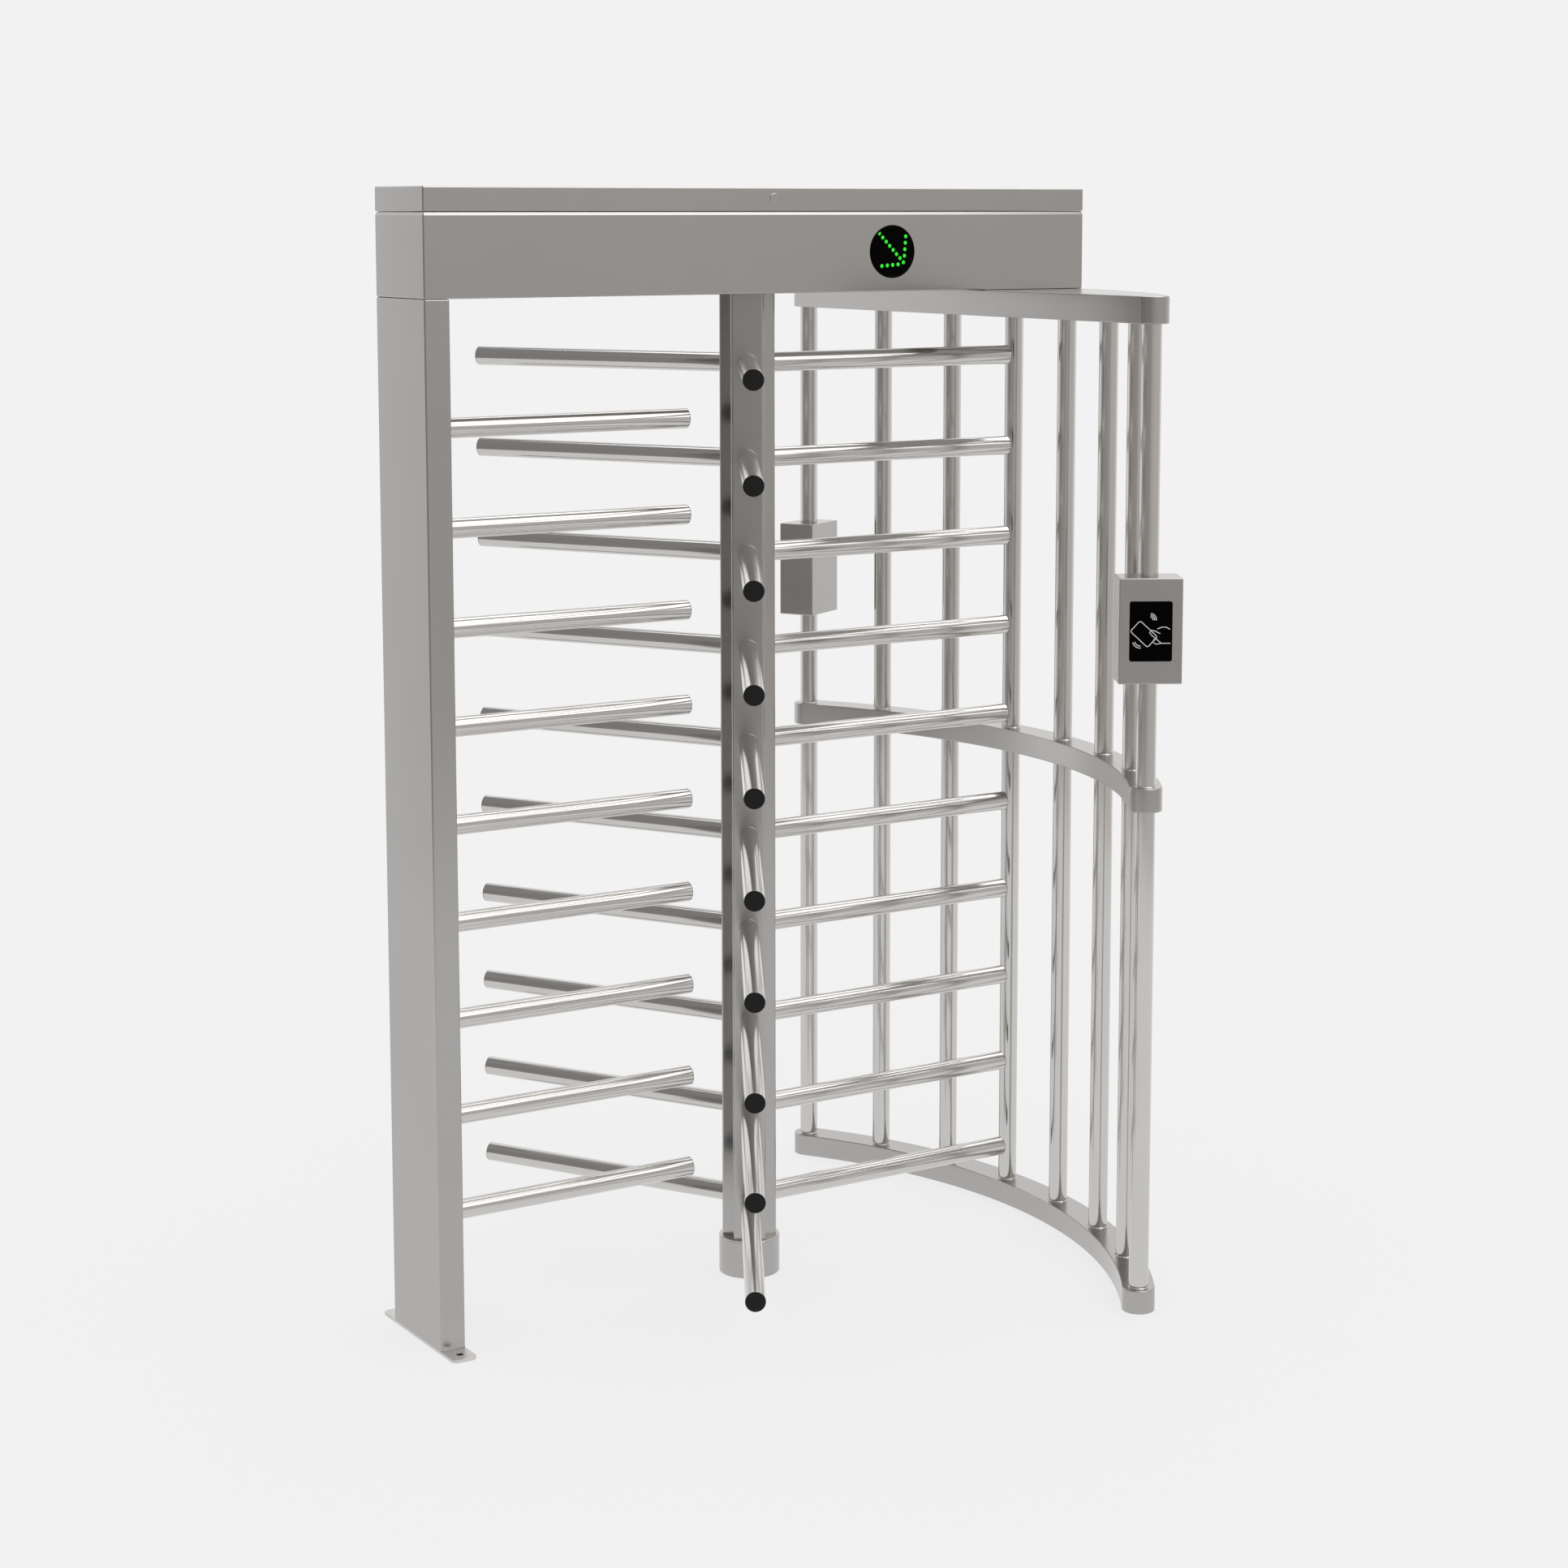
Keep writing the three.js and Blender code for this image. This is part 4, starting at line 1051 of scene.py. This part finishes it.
board_laminate = moulded_plastic("green_board_laminate", BOARD_GREEN, ELECTRIC_ROUGHNESS)
supply_case = moulded_plastic("black_supply_case", SUPPLY_BLACK, ELECTRIC_ROUGHNESS)
dress_node("control_board", board_laminate, SMALL_EDGE)
board_low, board_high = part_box("control_board")
board_corner = Vector((board_low.x, board_low.y, board_high.z))


def on_board(x, y, height=0):
    """A spot over the board, from millimetres along it and above it."""
    return board_corner + Vector((x, y, height)) * MM


parts = bmesh.new()
legs = bmesh.new()
for x, y, length, width, height in CHIPS + RELAYS + TERMINALS:
    low = on_board(x, y)
    add_block(parts, low, low + Vector((length, width, height)) * MM)
for x, y, length, width, height in CHIPS:
    low = on_board(x, y)
    high = low + Vector((length, width, height)) * MM
    for leg in range(1, int((high.x - low.x) / LEG_PITCH)):
        at = low.x + leg * LEG_PITCH
        leg_low = (at - LEG_HALF_WIDTH, low.y - LEG_REACH, low.z)
        add_block(legs, leg_low, (at + LEG_HALF_WIDTH, high.y + LEG_REACH, low.z + LEG_HEIGHT))
for x, y, length, width, height in TERMINALS:
    for terminal in range(int(length * MM / TERMINAL_PITCH)):
        spot = on_board(x, y + width / 2, height)
        spot.x += (terminal + 0.5) * TERMINAL_PITCH
        add_screw(legs, spot)
for x, y in CORNER_SCREWS:
    add_screw(legs, on_board(x, y))
for x, y, can_radius, can_height in CANS:
    place = Matrix.Translation(on_board(x, y))
    radius = can_radius * MM
    top = can_height * MM
    sleeve = [(0, 0), (radius, 0), (radius, top - CAN_EDGE), (radius - CAN_EDGE, top), (0, top)]
    add_turned(parts, sleeve, place, CAN_SEGMENTS)
    inner = CAN_TOP_SHARE * radius
    raised = top + CAN_TOP_SHEET
    add_turned(legs, [(0, top), (inner, top), (inner, raised), (0, raised)], place, CAN_SEGMENTS)
make_piece("board_parts", parts, supply_case, "frame", edge=SMALL_EDGE)
make_piece("board_metal", legs, ground_steel, "frame")

# Power supply
# A black box screwed down at the other side of the shaft. Vents are cut through its cover,
# and a row of screw terminals stands in a recess at one end.
SUPPLY_EDGE = 0.8 * MM
VENT_ROWS = 2
VENT_COUNT = 12
VENT_WIDTH = 4 * MM
VENT_PITCH = 10.4 * MM
VENT_LENGTH = 30 * MM
VENT_DEPTH = 3 * MM
STRIP_WIDTH = 13 * MM
STRIP_DROP = 14 * MM
STRIP_SCREWS = 8

supply_low, supply_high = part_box("power_supply")
supply_depth = supply_high.y - supply_low.y
clear_top = supply_high.z + MM
supply = bmesh.new()
add_block(supply, supply_low, supply_high)
supply_cover = make_piece(
    "supply_cover", supply, supply_case, "frame", ["power_supply"], SUPPLY_EDGE
)
vents = bmesh.new()
add_block(
    vents,
    (supply_low.x - MM, supply_low.y - MM, supply_high.z - STRIP_DROP),
    (supply_low.x + STRIP_WIDTH, supply_high.y + MM, clear_top),
)
for row in range(VENT_ROWS):
    y = supply_low.y + (row + 0.5) / VENT_ROWS * supply_depth
    for vent in range(VENT_COUNT):
        x = supply_low.x + 2 * STRIP_WIDTH + vent * VENT_PITCH
        vent_low = (x, y - VENT_LENGTH / 2, supply_high.z - VENT_DEPTH)
        add_block(vents, vent_low, (x + VENT_WIDTH, y + VENT_LENGTH / 2, clear_top))
cut_out(supply_cover, vents)
strip_screws = bmesh.new()
for screw in range(STRIP_SCREWS):
    y = supply_low.y + (screw + 0.5) / STRIP_SCREWS * supply_depth
    add_screw(strip_screws, (supply_low.x + STRIP_WIDTH / 2, y, supply_high.z - STRIP_DROP))
make_piece("supply_screws", strip_screws, ground_steel, "frame")

# Studio
# A pale seamless floor meets a backdrop of the same tone. Soft boxes above and in front
# light the steel, and grey flats round the room give its polish something darker to show.
PALE = 0.888
FLOOR_HALF = 40.0
FLOOR_EVENNESS = 0.86
SOFT_BOX_AIM = (0, 0, 1)
# Each soft box as (name, middle, size, brightness).
SOFT_BOXES = [
    ("overhead_soft_box", (1.3, -0.2, 6.0), (7.6, 5.6), 2.1),
    ("front_soft_box", (1.4, -5.0, 5.4), (4.4, 3.6), 2.1),
    ("front_soft_wall", (4.6, -11.6, 10.6), (18, 6.2), 2.1),
    ("grey_ceiling", (0, 0, 7.0), (14, 14), 0.3),
]
ROOM_RADIUS = 4.6
ROOM_STEPS = 72
FLAT_FOOT = 0.02
# Flats round the room, by direction in degrees: brightness, blue share and height.
FLATS = {
    -180: (0.32, 0.9, 5.0),
    -165: (0.36, 0.9, 5.0),
    -150: (0.38, 0.93, 4.4),
    -130: (0.36, 0.95, 3.2),
    -112: (0.49, 0.95, 2.9),
    -95: (0.56, 0.95, 2.8),
    -65: (0.62, 0.95, 2.8),
    -48: (0.62, 0.95, 3.0),
    -35: (0.62, 0.95, 3.4),
    0: (0.92, 0.98, 4.8),
    60: (0.98, 1.0, 5.4),
    90: (0.96, 1.0, 5.2),
    106: (1.04, 1.0, 4.6),
    117: (1.04, 1.0, 4.6),
    130: (0.6, 1.0, 5.0),
    142: (0.6, 0.98, 5.0),
    153: (0.36, 0.95, 5.0),
    165: (0.28, 0.93, 5.0),
    180: (0.32, 0.9, 5.0),
}


def larger_of(first, output, second, other):
    """A node that passes on the larger of two nodes' masks."""
    larger = first.id_data.nodes.new("ShaderNodeMath")
    larger.operation = "MAXIMUM"
    join(first, output, larger, 0)
    join(second, other, larger, 1)
    return larger


def flat_card(name, half_x, half_y, finish):
    """A flat rectangle about its own middle."""
    data = bpy.data.meshes.new(name)
    corners = rectangle((-half_x, -half_y), (half_x, half_y))
    data.from_pydata([(x, y, 0) for x, y in corners], [], [(0, 1, 2, 3)])
    data.materials.append(finish)
    return place_object(name, data)


floor_finish = plain_finish("pale_floor", (PALE, PALE, PALE), 1.0)
floor_nodes = floor_finish.node_tree.nodes
floor_surface = floor_nodes["Principled BSDF"]
set_inputs(floor_surface, Specular_IOR_Level=0)
floor_glow = floor_nodes.new("ShaderNodeEmission")
set_inputs(floor_glow, Color=(PALE, PALE, PALE, 1))
floor_rays = floor_nodes.new("ShaderNodeLightPath")
floor_mirrored = larger_of(floor_rays, "Is Glossy Ray", floor_rays, "Is Transmission Ray")
floor_share = floor_nodes.new("ShaderNodeMath")
floor_share.operation = "MULTIPLY_ADD"
floor_share.inputs[1].default_value = FLOOR_EVENNESS
floor_share.use_clamp = True
floor_mix = floor_nodes.new("ShaderNodeMixShader")
join(floor_rays, "Is Camera Ray", floor_share, 0)
join(floor_mirrored, "Value", floor_share, 2)
join(floor_share, "Value", floor_mix, "Fac")
join(floor_surface, "BSDF", floor_mix, 1)
join(floor_glow, "Emission", floor_mix, 2)
join(floor_mix, "Shader", floor_nodes["Material Output"], "Surface")
flat_card("studio_floor", FLOOR_HALF, FLOOR_HALF, floor_finish)

world = bpy.data.worlds.new("studio_light")
bpy.context.scene.world = world
world.use_nodes = True
world_nodes = world.node_tree.nodes
plain_light = world_nodes["Background"]
set_inputs(plain_light, Color=(1, 1, 1, 1), Strength=1)
backdrop = world_nodes.new("ShaderNodeBackground")
set_inputs(backdrop, Color=(PALE, PALE, PALE, 1), Strength=1)
rays = world_nodes.new("ShaderNodeLightPath")
seen = larger_of(rays, "Is Camera Ray", rays, "Is Glossy Ray")
seen = larger_of(seen, "Value", rays, "Is Transmission Ray")
choice = world_nodes.new("ShaderNodeMixShader")
join(seen, "Value", choice, "Fac")
join(plain_light, "Background", choice, 1)
join(backdrop, "Background", choice, 2)
join(choice, "Shader", world_nodes["World Output"], "Surface")


def stage_for_gloss(thing):
    """The steel reflects this stage piece, and nothing else sees it."""
    thing.visible_camera = False
    thing.visible_diffuse = False
    thing.visible_transmission = False
    thing.visible_shadow = False
    thing.visible_volume_scatter = False


def glow(name, level):
    """A surface that shines at one level, and its light node."""
    material, nodes, surface = new_material(name)
    nodes.remove(surface)
    light = nodes.new("ShaderNodeEmission")
    set_inputs(light, Strength=level)
    join(light, "Emission", nodes["Material Output"], "Surface")
    return material, light


for name, middle, size, level in SOFT_BOXES:
    card = flat_card(name, size[0] / 2, size[1] / 2, glow(name, level)[0])
    card.location = middle
    facing = Vector(SOFT_BOX_AIM) - Vector(middle)
    card.rotation_euler = facing.to_track_quat("Z", "Y").to_euler()
    stage_for_gloss(card)


def flat_height(degrees):
    """How tall the flats stand in one direction."""
    marks = list(FLATS)
    for near, far in zip(marks, marks[1:]):
        if near <= degrees <= far:
            share = (degrees - near) / (far - near)
            return FLATS[near][2] + share * (FLATS[far][2] - FLATS[near][2])


flats_points = []
flats_faces = []
for step in range(ROOM_STEPS):
    degrees = -180 + 360 * step / ROOM_STEPS
    x = ROOM_RADIUS * math.cos(math.radians(degrees))
    y = ROOM_RADIUS * math.sin(math.radians(degrees))
    flats_points += [(x, y, FLAT_FOOT), (x, y, flat_height(degrees))]
    near = 2 * step
    far = 2 * ((step + 1) % ROOM_STEPS)
    flats_faces.append((near, far, far + 1, near + 1))
flats_mesh = bpy.data.meshes.new("grey_flats")
flats_mesh.from_pydata(flats_points, [], flats_faces)
flats_finish, flats_light = glow("grey_flats", 1)
flats_nodes = flats_finish.node_tree.nodes
flats_place = flats_nodes.new("ShaderNodeTexCoord")
flats_turn = flats_nodes.new("ShaderNodeTexGradient")
flats_turn.gradient_type = "RADIAL"
flats_tone = flats_nodes.new("ShaderNodeValToRGB")
join(flats_place, "Object", flats_turn, "Vector")
join(flats_turn, "Fac", flats_tone, "Fac")
join(flats_tone, "Color", flats_light, "Color")
ramp = flats_tone.color_ramp
while len(ramp.elements) > 1:
    ramp.elements.remove(ramp.elements[-1])
for count, (degrees, (tone, blue, _)) in enumerate(FLATS.items()):
    share = (degrees + 180) / 360
    stop = ramp.elements[0] if count == 0 else ramp.elements.new(share)
    stop.position = share
    stop.color = (tone, tone * (1 + blue) / 2, tone * blue, 1)
flats_mesh.materials.append(flats_finish)
stage_for_gloss(place_object("grey_flats", flats_mesh))

# Camera
# It stands at the front left, above head height, and looks slightly down. Its shift is
# small enough to keep the whole object in view from the other sides.
CAMERA_PLACE = (-3.1006, -5.1583, 2.1167)
CAMERA_YAW = math.radians(32.168)
CAMERA_PITCH = math.radians(7.516)
CAMERA_LENS = 71.222
CAMERA_SENSOR = 36
CAMERA_SHIFT = (-0.0165, -0.1066)
camera_data = bpy.data.cameras.new("camera")
camera_data.lens = CAMERA_LENS
camera_data.sensor_width = CAMERA_SENSOR
camera_data.shift_x, camera_data.shift_y = CAMERA_SHIFT
camera = place_object("camera", camera_data)
camera.location = CAMERA_PLACE
camera.rotation_euler = (QUARTER - CAMERA_PITCH, 0, -CAMERA_YAW)
bpy.context.scene.camera = camera
bpy.context.scene.view_settings.view_transform = "Standard"
